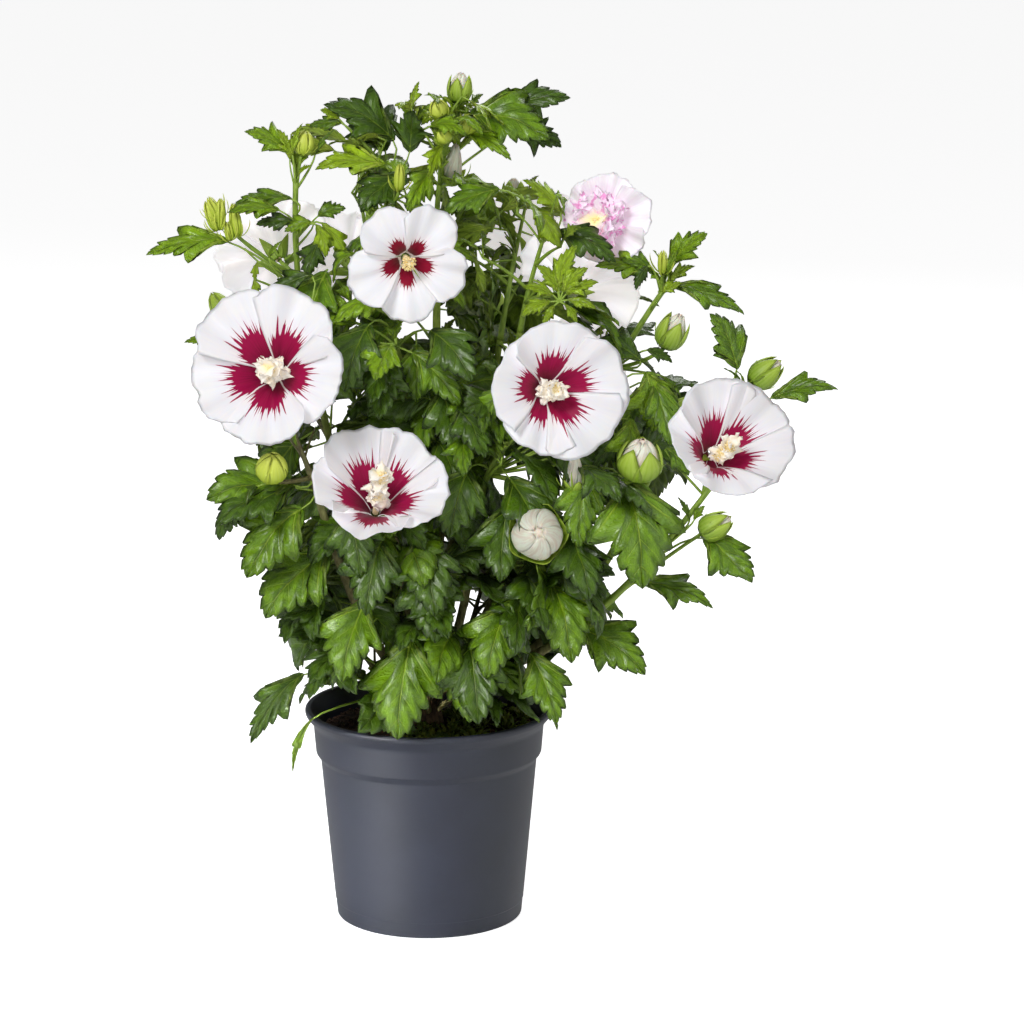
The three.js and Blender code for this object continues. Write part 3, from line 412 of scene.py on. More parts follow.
class Finish:
    """A material, with its constants set on the shader's own sockets."""

    def __init__(self, name, **constants):
        self.material = bpy.data.materials.new(name)
        self.material.use_nodes = True
        self.tree = self.material.node_tree
        self.shader = self.tree.nodes["Principled BSDF"]
        for socket, value in constants.items():
            self.shader.inputs[socket.replace("_", " ")].default_value = value

    def node(self, kind, settings=None, *values, out=0, **named):
        """A node of a kind, with its settings, and what its sockets get in their order or by name."""
        made = self.tree.nodes.new(kind)
        for key, value in (settings or {}).items():
            setattr(made, key, value)
        sockets = [s for s in made.inputs if s.enabled]
        pairs = list(zip(sockets, values))
        for name, value in named.items():
            pairs.append((next(s for s in sockets if s.name == name.replace("_", " ")), value))
        for socket, value in pairs:
            self.give(socket, value)
        outputs = [s for s in made.outputs if s.enabled]
        return Value(self, outputs[out])

    def give(self, socket, value):
        if isinstance(value, Value):
            self.tree.links.new(value.socket, socket)
        else:
            socket.default_value = value

    def feed(self, name, value):
        self.give(self.shader.inputs[name], value)

    def blend(self, share, one, other):
        return self.node("ShaderNodeMix", {"data_type": "RGBA"}, share, one, other)

    def bump(self, height, strength, distance):
        self.feed("Normal", self.node(
            "ShaderNodeBump", {}, Height=height, Strength=strength, Distance=distance * MM))

    def sheet_place(self):
        """Where a spot lies on a thin shell: along it, across it, and 1 on its upper side."""
        place = self.node("ShaderNodeUVMap", {"uv_map": SHEET_MAP})
        along = self.node("ShaderNodeSeparateXYZ", {}, place)
        across = self.node("ShaderNodeSeparateXYZ", {}, place, out=1)
        above = across > MAP_UPPER
        return along, (across - MAP_LOW - above * MAP_UPPER) / MAP_HALF * 2 - 1, above

    def grain(self, size, detail=2.0, stretch=(1, 1, 1)):
        """Cloudy noise over the piece itself, with a grain of about that many millimetres."""
        place = self.node("ShaderNodeTexCoord", out=ON_PIECE)
        place = self.node("ShaderNodeVectorMath", {"operation": "MULTIPLY"}, place, stretch)
        return self.node("ShaderNodeTexNoise", {}, Vector=place, Scale=1 / (size * MM), Detail=detail)

    def map_grain(self, along, across, detail=2.0):
        """Cloudy noise over the map of a thin shell, with that many grains along and across it."""
        place = self.node("ShaderNodeUVMap", {"uv_map": SHEET_MAP})
        place = self.node("ShaderNodeVectorMath", {"operation": "MULTIPLY"}, place, (along, across, 1))
        flat = {"noise_dimensions": "2D"}
        return self.node("ShaderNodeTexNoise", flat, Vector=place, Scale=1.0, Detail=detail)


print("a mid grey is", [round(c, 3) for c in paint(128, 128, 128)])

# %% [markdown]
# ## Two shapes make the plant
# Leaves, petals and sepals are thin shells: a grid of points on top, one below, and a shared rim. Stems,
# stalks and columns are tubes along a path. Their faces are worked out once, and each leaf only brings its
# own points, so thousands of them join into one mesh in a moment. The shells share one map, with the upper
# side in its upper half, and that keeps a pattern such as veins sharp on every copy.

# %% Shells and tubes
def grid_faces(number):
    """Two triangles for each cell of a grid whose points are numbered by the table."""
    a = number[:-1, :-1]
    b = number[1:, :-1]
    c = number[1:, 1:]
    d = number[:-1, 1:]
    return np.concatenate([np.stack([a, b, c], -1).reshape(-1, 3), np.stack([a, c, d], -1).reshape(-1, 3)])


class Shell:
    """The faces and the map of a thin shell with rows along it and columns across it."""

    def __init__(self, along, across):
        rows, cols = len(along), len(across)
        top = np.arange(rows * cols).reshape(rows, cols)
        under = top.copy()
        under[1:-1, 1:-1] = rows * cols + np.arange((rows - 2) * (cols - 2)).reshape(rows - 2, cols - 2)
        upper = grid_faces(top)
        lower = grid_faces(under)[:, ::-1]
        self.faces = np.concatenate([upper, lower])
        self.s = np.asarray(along, float)[:, None]
        self.q = np.asarray(across, float)[None, :]
        u = MAP_LOW + (1 - 2 * MAP_LOW) * np.repeat(np.asarray(along, float), cols)
        v = MAP_LOW + MAP_HALF * (np.tile(np.asarray(across, float), rows) + 1) / 2
        spots = np.stack([u, v], -1)
        low_spots = np.concatenate([spots, spots.reshape(rows, cols, 2)[1:-1, 1:-1].reshape(-1, 2)])
        self.map = np.concatenate([spots[upper] + (0, MAP_UPPER), low_spots[lower]]).reshape(-1, 2)

    def points(self, top, thick):
        """All points of a shell whose upper side is the grid of points."""
        down = np.gradient(top, axis=0)
        over = np.gradient(top, axis=1)
        normal = np.cross(down, over)
        normal /= np.linalg.norm(normal, axis=2, keepdims=True) + 1e-12
        under = (top - normal * thick)[1:-1, 1:-1]
        return np.concatenate([top.reshape(-1, 3), under.reshape(-1, 3)])


def even_shell(rows, cols):
    return Shell(np.linspace(0, 1, rows), np.linspace(-1, 1, cols))


class Tube:
    """The faces and the map of a closed tube with rings of points along a path."""

    def __init__(self, rings, sides):
        self.rings, self.sides = rings, sides
        number = np.arange(rings * sides).reshape(rings, sides)
        number = np.concatenate([number, number[:, :1]], 1)
        walls = grid_faces(number)[:, ::-1]
        foot, head = rings * sides, rings * sides + 1
        ring = np.arange(sides)
        after = (ring + 1) % sides
        last = (rings - 1) * sides
        low = np.stack([np.full(sides, foot), after, ring], -1)
        high = np.stack([np.full(sides, head), last + ring, last + after], -1)
        self.faces = np.concatenate([walls, low, high])
        u = np.linspace(MAP_LOW, 1 - MAP_LOW, rings)
        v = np.linspace(MAP_LOW, 1 - MAP_LOW, sides + 1)
        spots = np.stack(np.meshgrid(u, v, indexing="ij"), -1).reshape(-1, 2)
        table = np.arange(rings * (sides + 1)).reshape(rings, sides + 1)
        wall_map = spots[grid_faces(table)[:, ::-1]].reshape(-1, 2)
        self.map = np.concatenate([wall_map, np.full((2 * sides * 3, 2), MAP_LOW)])

    def points(self, path, radii, swell=None):
        """Rings round a path. swell is a factor for each point of each ring."""
        path = np.asarray(path, float)
        way = np.gradient(path, axis=0)
        way /= np.linalg.norm(way, axis=1, keepdims=True)
        side = np.cross(UP, way[0])
        side = unit(side) if np.linalg.norm(side) > 0.05 else point(0, 1, 0)
        angles = np.linspace(0, TURN, self.sides, endpoint=False)
        rings = []
        for k in range(self.rings):
            side = unit(side - way[k] * side.dot(way[k]))
            face = np.cross(way[k], side)
            ring = np.outer(np.cos(angles), side) + np.outer(np.sin(angles), face)
            factor = radii[k] if swell is None else radii[k] * swell[k][:, None]
            rings.append(path[k] + ring * factor)
        return np.concatenate([*rings, path[:1], path[-1:]])

    def shares(self):
        """Even shares of a path, one for each ring."""
        return np.linspace(0, 1, self.rings)


print("a small leaf shell has", len(Shell([0, 0.5, 1], [-1, 0, 1]).faces), "faces")

# %% [markdown]
# ## Heaps of small shapes
# Blender is quick with a few large meshes and slow with thousands of objects. A heap collects shapes of one
# kind and one finish, and becomes a mesh at the end. Every piece rides on the body of the part, and hides
# the plain solids of the frame that it stands for.

# %% Heaps and pieces
MOST_FACES = 190000


def dress(piece, replaced=()):
    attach(piece, "root")
    if replaced:
        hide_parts(*replaced)
    return piece


def mesh_object(name, points, faces, spots, finish):
    """A smooth mesh in metres from points in millimetres, triangles, and a place on the map per corner."""
    mesh = bpy.data.meshes.new(name)
    mesh.vertices.add(len(points))
    mesh.vertices.foreach_set("co", (points * MM).astype(np.float32).ravel())
    mesh.loops.add(len(faces) * 3)
    mesh.loops.foreach_set("vertex_index", faces.astype(np.int32).ravel())
    mesh.polygons.add(len(faces))
    mesh.polygons.foreach_set("loop_start", np.arange(0, len(faces) * 3, 3, dtype=np.int32))
    mesh.polygons.foreach_set("use_smooth", np.ones(len(faces), bool))
    layer = mesh.uv_layers.new(name=SHEET_MAP)
    layer.data.foreach_set("uv", spots.astype(np.float32).ravel())
    mesh.update(calc_edges=True)
    mesh.materials.append(finish.material)
    made = bpy.data.objects.new(name, mesh)
    bpy.context.scene.collection.objects.link(made)
    return made


class Heap:
    """Shapes of one kind that end up in one mesh."""

    def __init__(self):
        self.parts = []

    def add(self, points, shape):
        self.parts.append((points, shape.faces, shape.map))

    def make(self, name, finish, slot="foliage", replaced=()):
        total = sum(len(faces) for _, faces, _ in self.parts)
        count = -(-total // MOST_FACES)
        share = -(-len(self.parts) // max(1, count))
        made = []
        for k in range(count):
            some = self.parts[k * share:(k + 1) * share]
            sizes = np.cumsum([0] + [len(points) for points, _, _ in some])
            faces = np.concatenate([faces + start for (_, faces, _), start in zip(some, sizes)])
            points = np.concatenate([points for points, _, _ in some])
            spots = np.concatenate([spots for _, _, spots in some])
            label = name if count == 1 else f"{name}_{k + 1}"
            made.append(dress(mesh_object(label, points, faces, spots, finish), replaced))
        print(f"{name}: {len(self.parts)} shapes, {total} triangles")
        return made


print("heaps hold up to", MOST_FACES, "triangles each")

# %% [markdown]
# ## Shoots
# Every limb, twig and stalk is a bent line with a start, a turn and an end: a quadratic curve. A bough
# leaves its limb outward and then turns up to the light, and a twig bows a little. Points and directions
# along the curve are all that the later steps ask for.

# %% Shoots
LENGTH_STEPS = 60


class Shoot:
    """A curve from a start by way of a turn to an end."""

    def __init__(self, start, turn, end):
        self.corners = np.array([start, turn, end], float)

    def at(self, t):
        t = np.asarray(t, float)[..., None]
        a, b, c = self.corners
        return (1 - t) ** 2 * a + 2 * t * (1 - t) * b + t ** 2 * c

    def way(self, t):
        a, b, c = self.corners
        return unit((1 - t) * (b - a) + t * (c - b))

    def length(self):
        steps = np.diff(self.at(np.linspace(0, 1, LENGTH_STEPS)), axis=0)
        return np.linalg.norm(steps, axis=1).sum()

    def across(self):
        chord = self.corners[2] - self.corners[0]
        level = point(-chord[1], chord[0], 0)
        return unit(level) if np.linalg.norm(level) > 1e-3 else point(1, 0, 0)

    def stepped(self, steps, t):
        """The point at t on the same shoot drawn in straight steps, as the frame's limbs are."""
        k = min(steps - 1, int(t * steps))
        return mix(self.at(k / steps), self.at((k + 1) / steps), t * steps - k)


def rising(foot, tip):
    foot, tip = np.asarray(foot, float), np.asarray(tip, float)
    level = mix(foot, tip, BOUGH["out_first"])
    return Shoot(foot, (level[0], level[1], mix(foot[2], tip[2], BOUGH["rise_last"])), tip)


def bowed(start, end, bow):
    middle = (start + end) / 2 + UP * bow * np.linalg.norm(end - start)
    return Shoot(start, middle, end)


stem_foot = point(0, 0, STEM["foot"])
stem_fork = point(*STEM["lean"], STEM["fork"])
shoots = {"main_stem": Shoot(stem_foot, (stem_foot + stem_fork) / 2, stem_fork)}
for name, (holder, share, tip, _) in BOUGHS.items():
    foot = shoots[holder].at(share) + (UP * GAP if share == 1 else 0)
    shoots[name] = rising(foot, tip)
print("longest bough:", round(max(shoot.length() for shoot in shoots.values())), "mm")

# %% [markdown]
# ## Tips and the stems of the masses
# A mass is carried by a stem that goes on from its bough or starts on the main stem. From that stem a twig
# climbs to each bloom and bud, meeting it from behind. The fork is the place on the stem from which the
# twig climbs at the slope that this shrub's twigs have.

# %% Tips and mass stems
TWIG = {
    "bow": 0.12, "entry": 0.35, "straighten": 0.4, "slope": 0.8, "forks": (0.25, 0.95),
    "fork_step": 0.05, "stem_steps": 3, "steps": 2, "stem_reach": 0.45, "radius": 1.6, "stem_radius": 2.4,
}
LEAF = {
    "mature": 90, "young": 54, "mature_level": 380, "young_level": 640, "young_outward": 0.35,
    "grow": (0.82, 1.18), "tip_shrink": 0.25, "spacing": 26, "first": 9, "last": 0.96, "tries": 3,
    "spiral": 137.5, "sway": 40, "outward": 0.55, "droop": (-8, -52), "roll_span": 50,
    "stalk": 0.26, "stalk_rise": 22, "width": 0.8, "young_width": 0.5, "arch": (12, -24),
    "lean": 0.6, "front": 100,
}
# How far the foot of a petal lies behind the middle of its bloom
THROAT = 15.5


class Tip:
    """A tip of the plan with its place, its direction and the end of its twig."""

    def __init__(self, kind, x, y, z, size, azimuth, pitch, *rest):
        self.kind, self.size, self.azimuth, self.pitch = kind, size, azimuth, pitch
        self.place = point(x, y, z)
        self.facing = pointing(azimuth, pitch)
        self.look = rest[-1] if rest else None
        self.width = self.cup = rest[0] if kind in ("leaf", "bloom") else None
        self.end = self.place
        if kind == "bloom":
            self.end = self.place - self.facing * THROAT
        if kind == "leaf":
            rise = pointing(azimuth, pitch + LEAF["stalk_rise"])
            self.end = self.place - rise * LEAF["stalk"] * size

    def stand(self):
        """Rows: to the viewer's right, up, and the way that it faces."""
        right = np.cross(UP, self.facing)
        right = unit(right) if np.linalg.norm(right) > 0.02 else point(1, 0, 0)
        return np.array([right, np.cross(self.facing, right), self.facing])

    def placed(self, points):
        return self.place + points @ self.stand()


def mass_stem(name, mass):
    crest = np.array(mass["crest"], float)
    if name not in BOUGHS:
        return rising(shoots["main_stem"].at(mass["at"]), crest)
    way = shoots[name].way(1)
    foot = shoots[name].at(1)
    return Shoot(foot, foot + way * TWIG["stem_reach"] * np.linalg.norm(crest - foot), crest)


def fork_for(stem, end):
    first, last = TWIG["forks"]
    shares = np.arange(first, last + TWIG["fork_step"] / 2, TWIG["fork_step"])
    forks = [stem.stepped(TWIG["stem_steps"], t) for t in shares]
    return min(forks, key=lambda p: abs(end[2] - p[2] - TWIG["slope"] * math.hypot(*(end - p)[:2])))


def twig_to(stem, tip):
    foot = fork_for(stem, tip.end)
    if tip.kind == "spray":
        return bowed(foot, tip.end, TWIG["bow"])
    turn = tip.end - tip.facing * TWIG["entry"] * np.linalg.norm(tip.end - foot)
    turn = mix(turn, (foot + tip.end) / 2, TWIG["straighten"])
    return Shoot(foot, turn, tip.end)


tips = {name: [Tip(*row) for row in mass["tips"]] for name, mass in MASSES.items()}
stems = {name: mass_stem(name, mass) for name, mass in MASSES.items()}
small_tips = [(name, Tip("leaf", *row)) for name, rows in SMALL_LEAVES for row in rows]
small_tips += [(name, Tip("bud", *row)) for name, rows in SMALL_BUDS for row in rows]
blooms = [tip for rows in tips.values() for tip in rows if tip.kind == "bloom"]
print(len(blooms), "blooms,", sum(tip.kind == "bud" for rows in tips.values() for tip in rows), "buds")

# %% [markdown]
# ## The room of each mass
# Twigs and leaves keep to the space of their own mass, so that the gaps between the masses stay open to
# the sky. The space is the part of the ball that is nearer to it than to its neighbours. The pot and the
# room in front of each bloom are kept free as well, and so are the places where the photograph shows sky
# through the plant. The line from the photographer's eye to a leaf may not cross such an opening. In
# front of a half hidden bloom or bough only the nearer leaves are left out. The plan's own leaves stand
# where it says, whatever the room.

# %% Room
BORDER = {"middle": -6, "edge": -26, "reach": 48, "pot": 3}
BLOOM_ROOM = {"back": 9, "slope": 0.1, "ahead": 30, "side": 3}
# Each opening is an x, a z and a radius, and a view ends at its own y
ENDLESS = 999
OPENINGS = [
    (-164, 593, 33), (130, 594, 28), (-140, 210, 26), (127, 160, 20), (-170, 359, 21), (-162, 485, 20),
    (-130, 585, 18), (119, 184, 16), (137, 182, 16), (-189, 547, 16), (100, 584, 16), (5, 656, 15),
    (-181, 466, 13), (46, 583, 14), (-148, 351, 13), (80, 586, 13), (-30, 642, 12), (-185, 504, 11),
    (187, 247, 11), (-65, 574, 12), (-161, 380, 11), (278, 440, 10), (-120, 189, 10), (68, 581, 11),
    (-139, 266, 10), (-140, 568, 9), (-155, 504, 9), (106, 568, 9), (-1, 461, 11), (271, 348, 9),
    (218, 326, 8), (-55, 559, 9), (104, 195, 8), (59, 589, 8), (-8, 475, 8), (-76, 393, 8),
    (-71, 402, 7), (30, 247, 9), (-42, 207, 7), (66, 346, 7), (60, 352, 7), (30, 234, 8), (-184, 425, 10),
    (-181, 404, 9), (-39, 644, 10),
]
VIEWS = [
    (70, 513, 14, 10), (94, 503, 11, 10), (132, 492, 11, 10), (149, 484, 10, 10), (-132, 517, 15, 0),
    (-111, 526, 10, 0), (-98, 516, 8, 0), (-140, 501, 10, 0), (-60, 534, 11, 65), (22, 584, 7, 5),
    (134, 543, 16, -12), (160, 542, 9, -12), (-92, 364, 6, -88), (-84, 335, 6, -88), (-62, 272, 7, -68),
    (-53, 240, 6, -60), (55, 520, 6, 10), (-76, 146, 10, -60), (-99, 139, 10, -60), (-14, 606, 10, -16),
    (-116, 365, 13, -95), (-39, 377, 12, -60), (59, 507, 12, 0), (78, 516, 13, 0), (70, 486, 9, 0),
]
KEPT_OPEN = np.array([(*row, ENDLESS) for row in OPENINGS] + VIEWS, float)


def inside(points, own):
    """How deep points lie in the space of a mass. Outside it, the depth is below 0."""
    centres, radii = BALLS[:, :3], BALLS[:, 3]
    power = ((points[:, None] - centres) ** 2).sum(2) - radii ** 2
    apart = np.linalg.norm(centres - centres[own], axis=1)
    apart[own] = 1
    depth = (power - power[:, own:own + 1]) / (2 * apart)
    depth[:, own] = np.inf
    return depth.min(1)


def clear_of_pot(points):
    beside = np.hypot(points[:, 0], points[:, 1]) > POT["lip"] + BORDER["pot"]
    return beside | (points[:, 2] > POT["height"] + BORDER["pot"])


def clear_of_blooms(points):
    clear = np.ones(len(points), bool)
    for bloom in blooms:
        away = points - bloom.place
        ahead = away @ bloom.facing
        off = np.linalg.norm(away - np.outer(ahead, bloom.facing), axis=1)
        behind = ahead < -BLOOM_ROOM["back"] - BLOOM_ROOM["slope"] * off
        past = ahead > bloom.size * bloom.cup + BLOOM_ROOM["ahead"]
        clear &= behind | past | (off > bloom.size + BLOOM_ROOM["side"])
    return clear


def clear_of_openings(points):
    """Whether the sky shows in line with no opening. Openings lie in the upright plane through the pot."""
    eye = np.array(EYE) / MM
    share = eye[1] / (eye[1] - points[:, 1])
    seen = eye + (points - eye) * share[:, None]
    away = np.hypot(seen[:, None, 0] - KEPT_OPEN[:, 0], seen[:, None, 2] - KEPT_OPEN[:, 1])
    return ((away > KEPT_OPEN[:, 2]) | (points[:, None, 1] > KEPT_OPEN[:, 3])).all(1)


def fits(points, own):
    room = inside(points, own) > BORDER["edge"]
    return bool((room & clear_of_pot(points) & clear_of_blooms(points)).all())


for own, (name, mass) in enumerate(MASSES.items()):
    if name == "top":
        depth = inside(np.array([mass["crest"]]), own)[0]
        print("the crest of the top mass lies", round(float(depth)), "mm inside its space")
print(len(OPENINGS), "openings and", len(VIEWS), "views are kept")

# %% [markdown]
# ## The blade of a leaf
# A mature leaf has three lobes with a few coarse, blunt teeth that point forward, and a young one is
# slimmer. One half of its outline is a row of teeth: the tip of each and the notch behind it. Three main
# veins leave the base together, one to each lobe, and the others leave the midrib further on. Mesh rows
# run as the veins do, so that the swelling between veins falls on real faces. Each kind is drawn five times
# with uneven teeth, in a fine mesh for large leaves and in a coarser one for small leaves.

# %% Leaf blades
TEETH = {
    "lobed": [(0.25, 0.44, 0.265, 0.38), (0.385, 0.78, 0.40, 0.66), (0.545, 1.0, 0.555, 0.48),
              (0.68, 0.58, 0.69, 0.40), (0.81, 0.42, 0.82, 0.28), (0.915, 0.22, 0.925, 0.14)],
    "oval": [(0.20, 0.62, 0.215, 0.57), (0.34, 0.90, 0.355, 0.81), (0.49, 1.0, 0.505, 0.80),
             (0.64, 0.82, 0.65, 0.64), (0.78, 0.56, 0.79, 0.43), (0.90, 0.30, 0.91, 0.20)],
    "slim": [(0.24, 0.36, 0.26, 0.29), (0.38, 0.70, 0.40, 0.56), (0.54, 1.0, 0.56, 0.42),
             (0.68, 0.52, 0.69, 0.34), (0.80, 0.38, 0.81, 0.23), (0.91, 0.20, 0.918, 0.11)],
}
VEIN_FEET = (0, 0.02, 0.05, 0.10, 0.34, 0.57, 0.80, 1)
TOOTH_BULGE = 0.045
TOOTH_BLUNT = 0.02
PUCKER = 0.034
MIDRIB_DIP = 0.008
BLADE_FOOT = 0.045
BLADE_POINT = 0.008
BLADES_EACH = 5
# A large leaf has more columns from its midrib to its edge than a small one, and rounder teeth
LEAF_COLUMNS = {"large": (0, 0.05, 0.34, 0.70, 1), "small": (0, 0.06, 0.52, 1)}
TOOTH_PARTS = {"large": 2, "small": 1}
LARGE_LEAF = 44
LEAF_THICK = 0.35


def half_outline(teeth, size):
    """Points from the base to the tip along one edge, with the vein that each one belongs to."""
    rows = [(0.0, BLADE_FOOT, 0.0)]
    here = (0.0, BLADE_FOOT)
    for number, (tip_x, tip_y, notch_x, notch_y) in enumerate(teeth):
        parts = TOOTH_PARTS[size] + (number == 0)
        for k in range(1, parts + 1):
            s = k / parts
            out = TOOTH_BULGE * math.sin(math.pi * s)
            x = mix(here[0], tip_x, s) - out * 0.6
            rows.append((x, mix(here[1], tip_y, s) + out, number + (s if number == 0 else (1 + 2 * s) / 3)))
        rows.append((mix(tip_x, notch_x, 0.8) + TOOTH_BLUNT * 0.7, mix(tip_y, notch_y, 0.3), number + 1.12))
        rows.append((notch_x, notch_y, number + 1 + 1 / 3))
        here = (notch_x, notch_y)
    last = len(teeth)
    rows.append((mix(here[0], 1, 0.5), here[1] * 0.7, last + 2 / 3))
    rows.append((1.0, BLADE_POINT, last + 1.0))
    return np.array(rows)


def flat_blade(teeth, size, draw):
    """A flat blade of unit length, rows along it and columns from its right edge to its left."""
    sides = []
    for sign in (-1, 1):
        uneven = [(x + draw(-0.02, 0.02), y * draw(0.84, 1.08), n + draw(-0.008, 0.008), m * draw(0.85, 1.12))
                  for x, y, n, m in teeth]
        outline = half_outline(uneven, size)
        start = np.interp(outline[:, 2], range(len(VEIN_FEET)), VEIN_FEET)
        share = np.array(LEAF_COLUMNS[size])[None, :]
        x = mix(start[:, None], outline[:, :1], share)
        y = outline[:, 1:2] * share * sign
        ridge = 0.5 - 0.5 * np.cos(TURN * outline[:, 2:3])
        z = PUCKER * ridge * (share * (1 - share) * 4) ** 0.7 - MIDRIB_DIP * (share == 0)
        sides.append(np.stack([x, y, z], -1))
    right, left = sides
    return np.concatenate([right[:, :0:-1], left], 1)


BLADES = {}
LEAF_SHELLS = {}
for size, columns in LEAF_COLUMNS.items():
    blade_draw = Draws(907)
    BLADES[size] = {kind: [flat_blade(teeth, size, blade_draw) for _ in range(BLADES_EACH)]
                    for kind, teeth in TEETH.items()}
    veins = half_outline(TEETH["lobed"], size)[:, 2]
    LEAF_SHELLS[size] = Shell(veins / (len(TEETH["lobed"]) + 1),
                              [-c for c in columns[:0:-1]] + list(columns))
    print("a", size, "leaf has", len(LEAF_SHELLS[size].faces), "triangles")
# The spots of a blade that are tested for room
SCOUTS = np.array([(x, y * (0.9 if x < 0.7 else 0.45), 0) for x in (0.1, 0.3, 0.5, 0.7, 0.9)
                   for y in (-0.8, -0.4, 0, 0.4, 0.8)] + [(1, 0, 0)])

# %% [markdown]
# ## Laying a leaf out
# A leaf's stalk rises from its twig, and the blade arches over and droops, with its face turned up and
# outward to the light. The flat blade is bent along that line. Folding at the midrib, curled sides, a
# twist and waves along the edge come from a few numbers that differ from leaf to leaf. The plan's own
# leaves are calmer than the rest, so that they keep the outline that shows.

# %% Laying a leaf out
BENDS = {"fold": (-0.12, 0.5), "curl": (0.0, 0.6), "twist": (-38, 38), "wave": (0.08, 0.24), "hook": (-6, 40)}
CALM = 0.4
SLIM_BELOW = 0.6
OVAL_SHARE = 0.22


class Leaf:
    """A leaf with its foot on a twig, its direction and the ways in which it is bent."""

    def __init__(self, foot, azimuth, pitch, roll, length, width, tint, whim, start=None, fixed=False):
        self.foot, self.azimuth, self.pitch, self.roll = foot, azimuth, pitch, roll
        self.length, self.width, self.tint, self.start = length, width, tint, start
        light = point(foot[0] * 0.35, foot[1] - LEAF["front"], 0) if fixed else point(foot[0], foot[1], 0)
        self.light = unit(light) * LEAF["lean"] + UP * (1 - LEAF["lean"])
        self.rise = pointing(azimuth, pitch + LEAF["stalk_rise"])
        self.base = foot + self.rise * LEAF["stalk"] * length
        calm = CALM if fixed else 1.0
        self.fold = whim(*BENDS["fold"]) * calm
        self.curl = whim(*BENDS["curl"]) * calm
        self.twist = whim(*BENDS["twist"]) * calm
        self.wave = whim(*BENDS["wave"])
        self.wave_at = whim(0, TURN)
        self.hook = whim(*BENDS["hook"]) * calm ** 2
        kind = "slim" if width < SLIM_BELOW else "oval" if whim() < OVAL_SHARE and not fixed else "lobed"
        self.size = "large" if length >= LARGE_LEAF else "small"
        self.blade = BLADES[self.size][kind][int(whim(0, BLADES_EACH - 0.001))]

    def laid(self, flat):
        """Flat points of the blade, bent and turned into place."""
        x, y, z = flat[..., 0], flat[..., 1], flat[..., 2]
        half = 0.5 * self.width
        first, last = LEAF["arch"]
        last = last - self.hook * 0.5
        first = first + self.hook * 0.5
        # The fold and the curl, waves along the edge, slow ones along the midrib, and dimples
        z = z + half * (self.fold * np.abs(y) - self.curl * y ** 2)
        z = z + self.wave * half * np.abs(y) ** 1.5 * np.sin(self.wave_at + 13 * x + 1.3 * np.sign(y))
        z = z + 0.35 * self.wave * half * np.sin(self.wave_at * 1.7 + 8 * x)
        z = z + 0.011 * np.sin(17 * x + 2 * self.wave_at) * np.sin(7 * y + 3 * self.wave_at)
        bend = math.radians(last - first)
        lowest = math.radians(self.pitch + first)
        pitch = lowest + bend * x
        run = (np.sin(pitch) - math.sin(lowest)) / bend
        climb = (math.cos(lowest) - np.cos(pitch)) / bend
        a = math.radians(self.azimuth)
        cos_a, sin_a = math.cos(a), math.sin(a)
        centre = np.stack([run * cos_a, run * sin_a, climb], -1)
        way = np.stack([np.cos(pitch) * cos_a, np.cos(pitch) * sin_a, np.sin(pitch)], -1)
        side = np.cross(np.broadcast_to(self.light, way.shape), way)
        side /= np.linalg.norm(side, axis=-1, keepdims=True) + 1e-9
        face = np.cross(way, side)
        roll = np.radians(self.roll + self.twist * (x - 0.4))[..., None]
        turned = side * np.cos(roll) + face * np.sin(roll)
        face = face * np.cos(roll) - side * np.sin(roll)
        flat_out = centre + turned * (y * half)[..., None] + face * z[..., None]
        return self.base + flat_out * self.length

    def shell(self):
        return LEAF_SHELLS[self.size].points(self.laid(self.blade), LEAF_THICK)

    def stalk(self):
        """The path of the stalk, which goes a little way into the midrib."""
        end = self.laid(point(0.03, 0, 0))
        if self.start is None:
            return Shoot(self.foot, self.foot + self.rise * 0.6 * LEAF["stalk"] * self.length, end)
        return Shoot(self.start, self.foot, end)


print("blade outlines:", ", ".join(TEETH))

# %% [markdown]
# ## Growing the plant
# The rule is the one that shaped the frame. Leaves at the tips of the plan come first. Then each mass grows
# side twigs round its stem, and leaves along every twig in a spiral, pointing away from the middle of the
# plant. Old leaves low down are broad and dark, young ones high up are slim and light. A small table of
# taken cells of space keeps blades from growing through each other.

# %% Growth
SIDE = {"start": 0.15, "span": 0.75, "turn": 40, "sway": 30, "rise": (12, 50), "long": (0.5, 0.85),
        "tests": (0.3, 0.5, 0.75, 1)}
# Each leaf of a spray has a length and an angle, seen from the front
SPRAY = [(26, 188), (25, 145), (27, 112), (36, 84), (27, 62), (27, 38), (23, 2), (17, -40), (18, 226)]
# The rule's leaves are a little shorter than the frame's plain ones, and the plan's own are wider
REAL_LEAF = 0.86
FACING_WIDTH = 1.14
# A leaf is left out if it enters this many taken cells, each so many millimetres wide
CROWD = 4
CELL = 7
taken = set()
leaves = []
twigs = []


def cells(points):
    return {tuple(c) for c in np.floor(points / CELL).astype(int)}


def crowded(points):
    return len(cells(points) & taken) >= CROWD


def take(points):
    taken.update(cells(points))


def youth(level, t):
    """0 for an old leaf low down, 1 for a young one at the top or far out on its twig."""
    high = (level - LEAF["mature_level"]) / (LEAF["young_level"] - LEAF["mature_level"])
    return min(1, max(0, high + LEAF["young_outward"] * (t - 0.5)))


def tint_of(young, draw):
    """A mature leaf is deep or mid green, a young one fresh or lime."""
    score = young + draw(-0.22, 0.22)
    return "deep" if score < 0.16 else "green" if score < 0.54 else "fresh" if score < 0.92 else "lime"


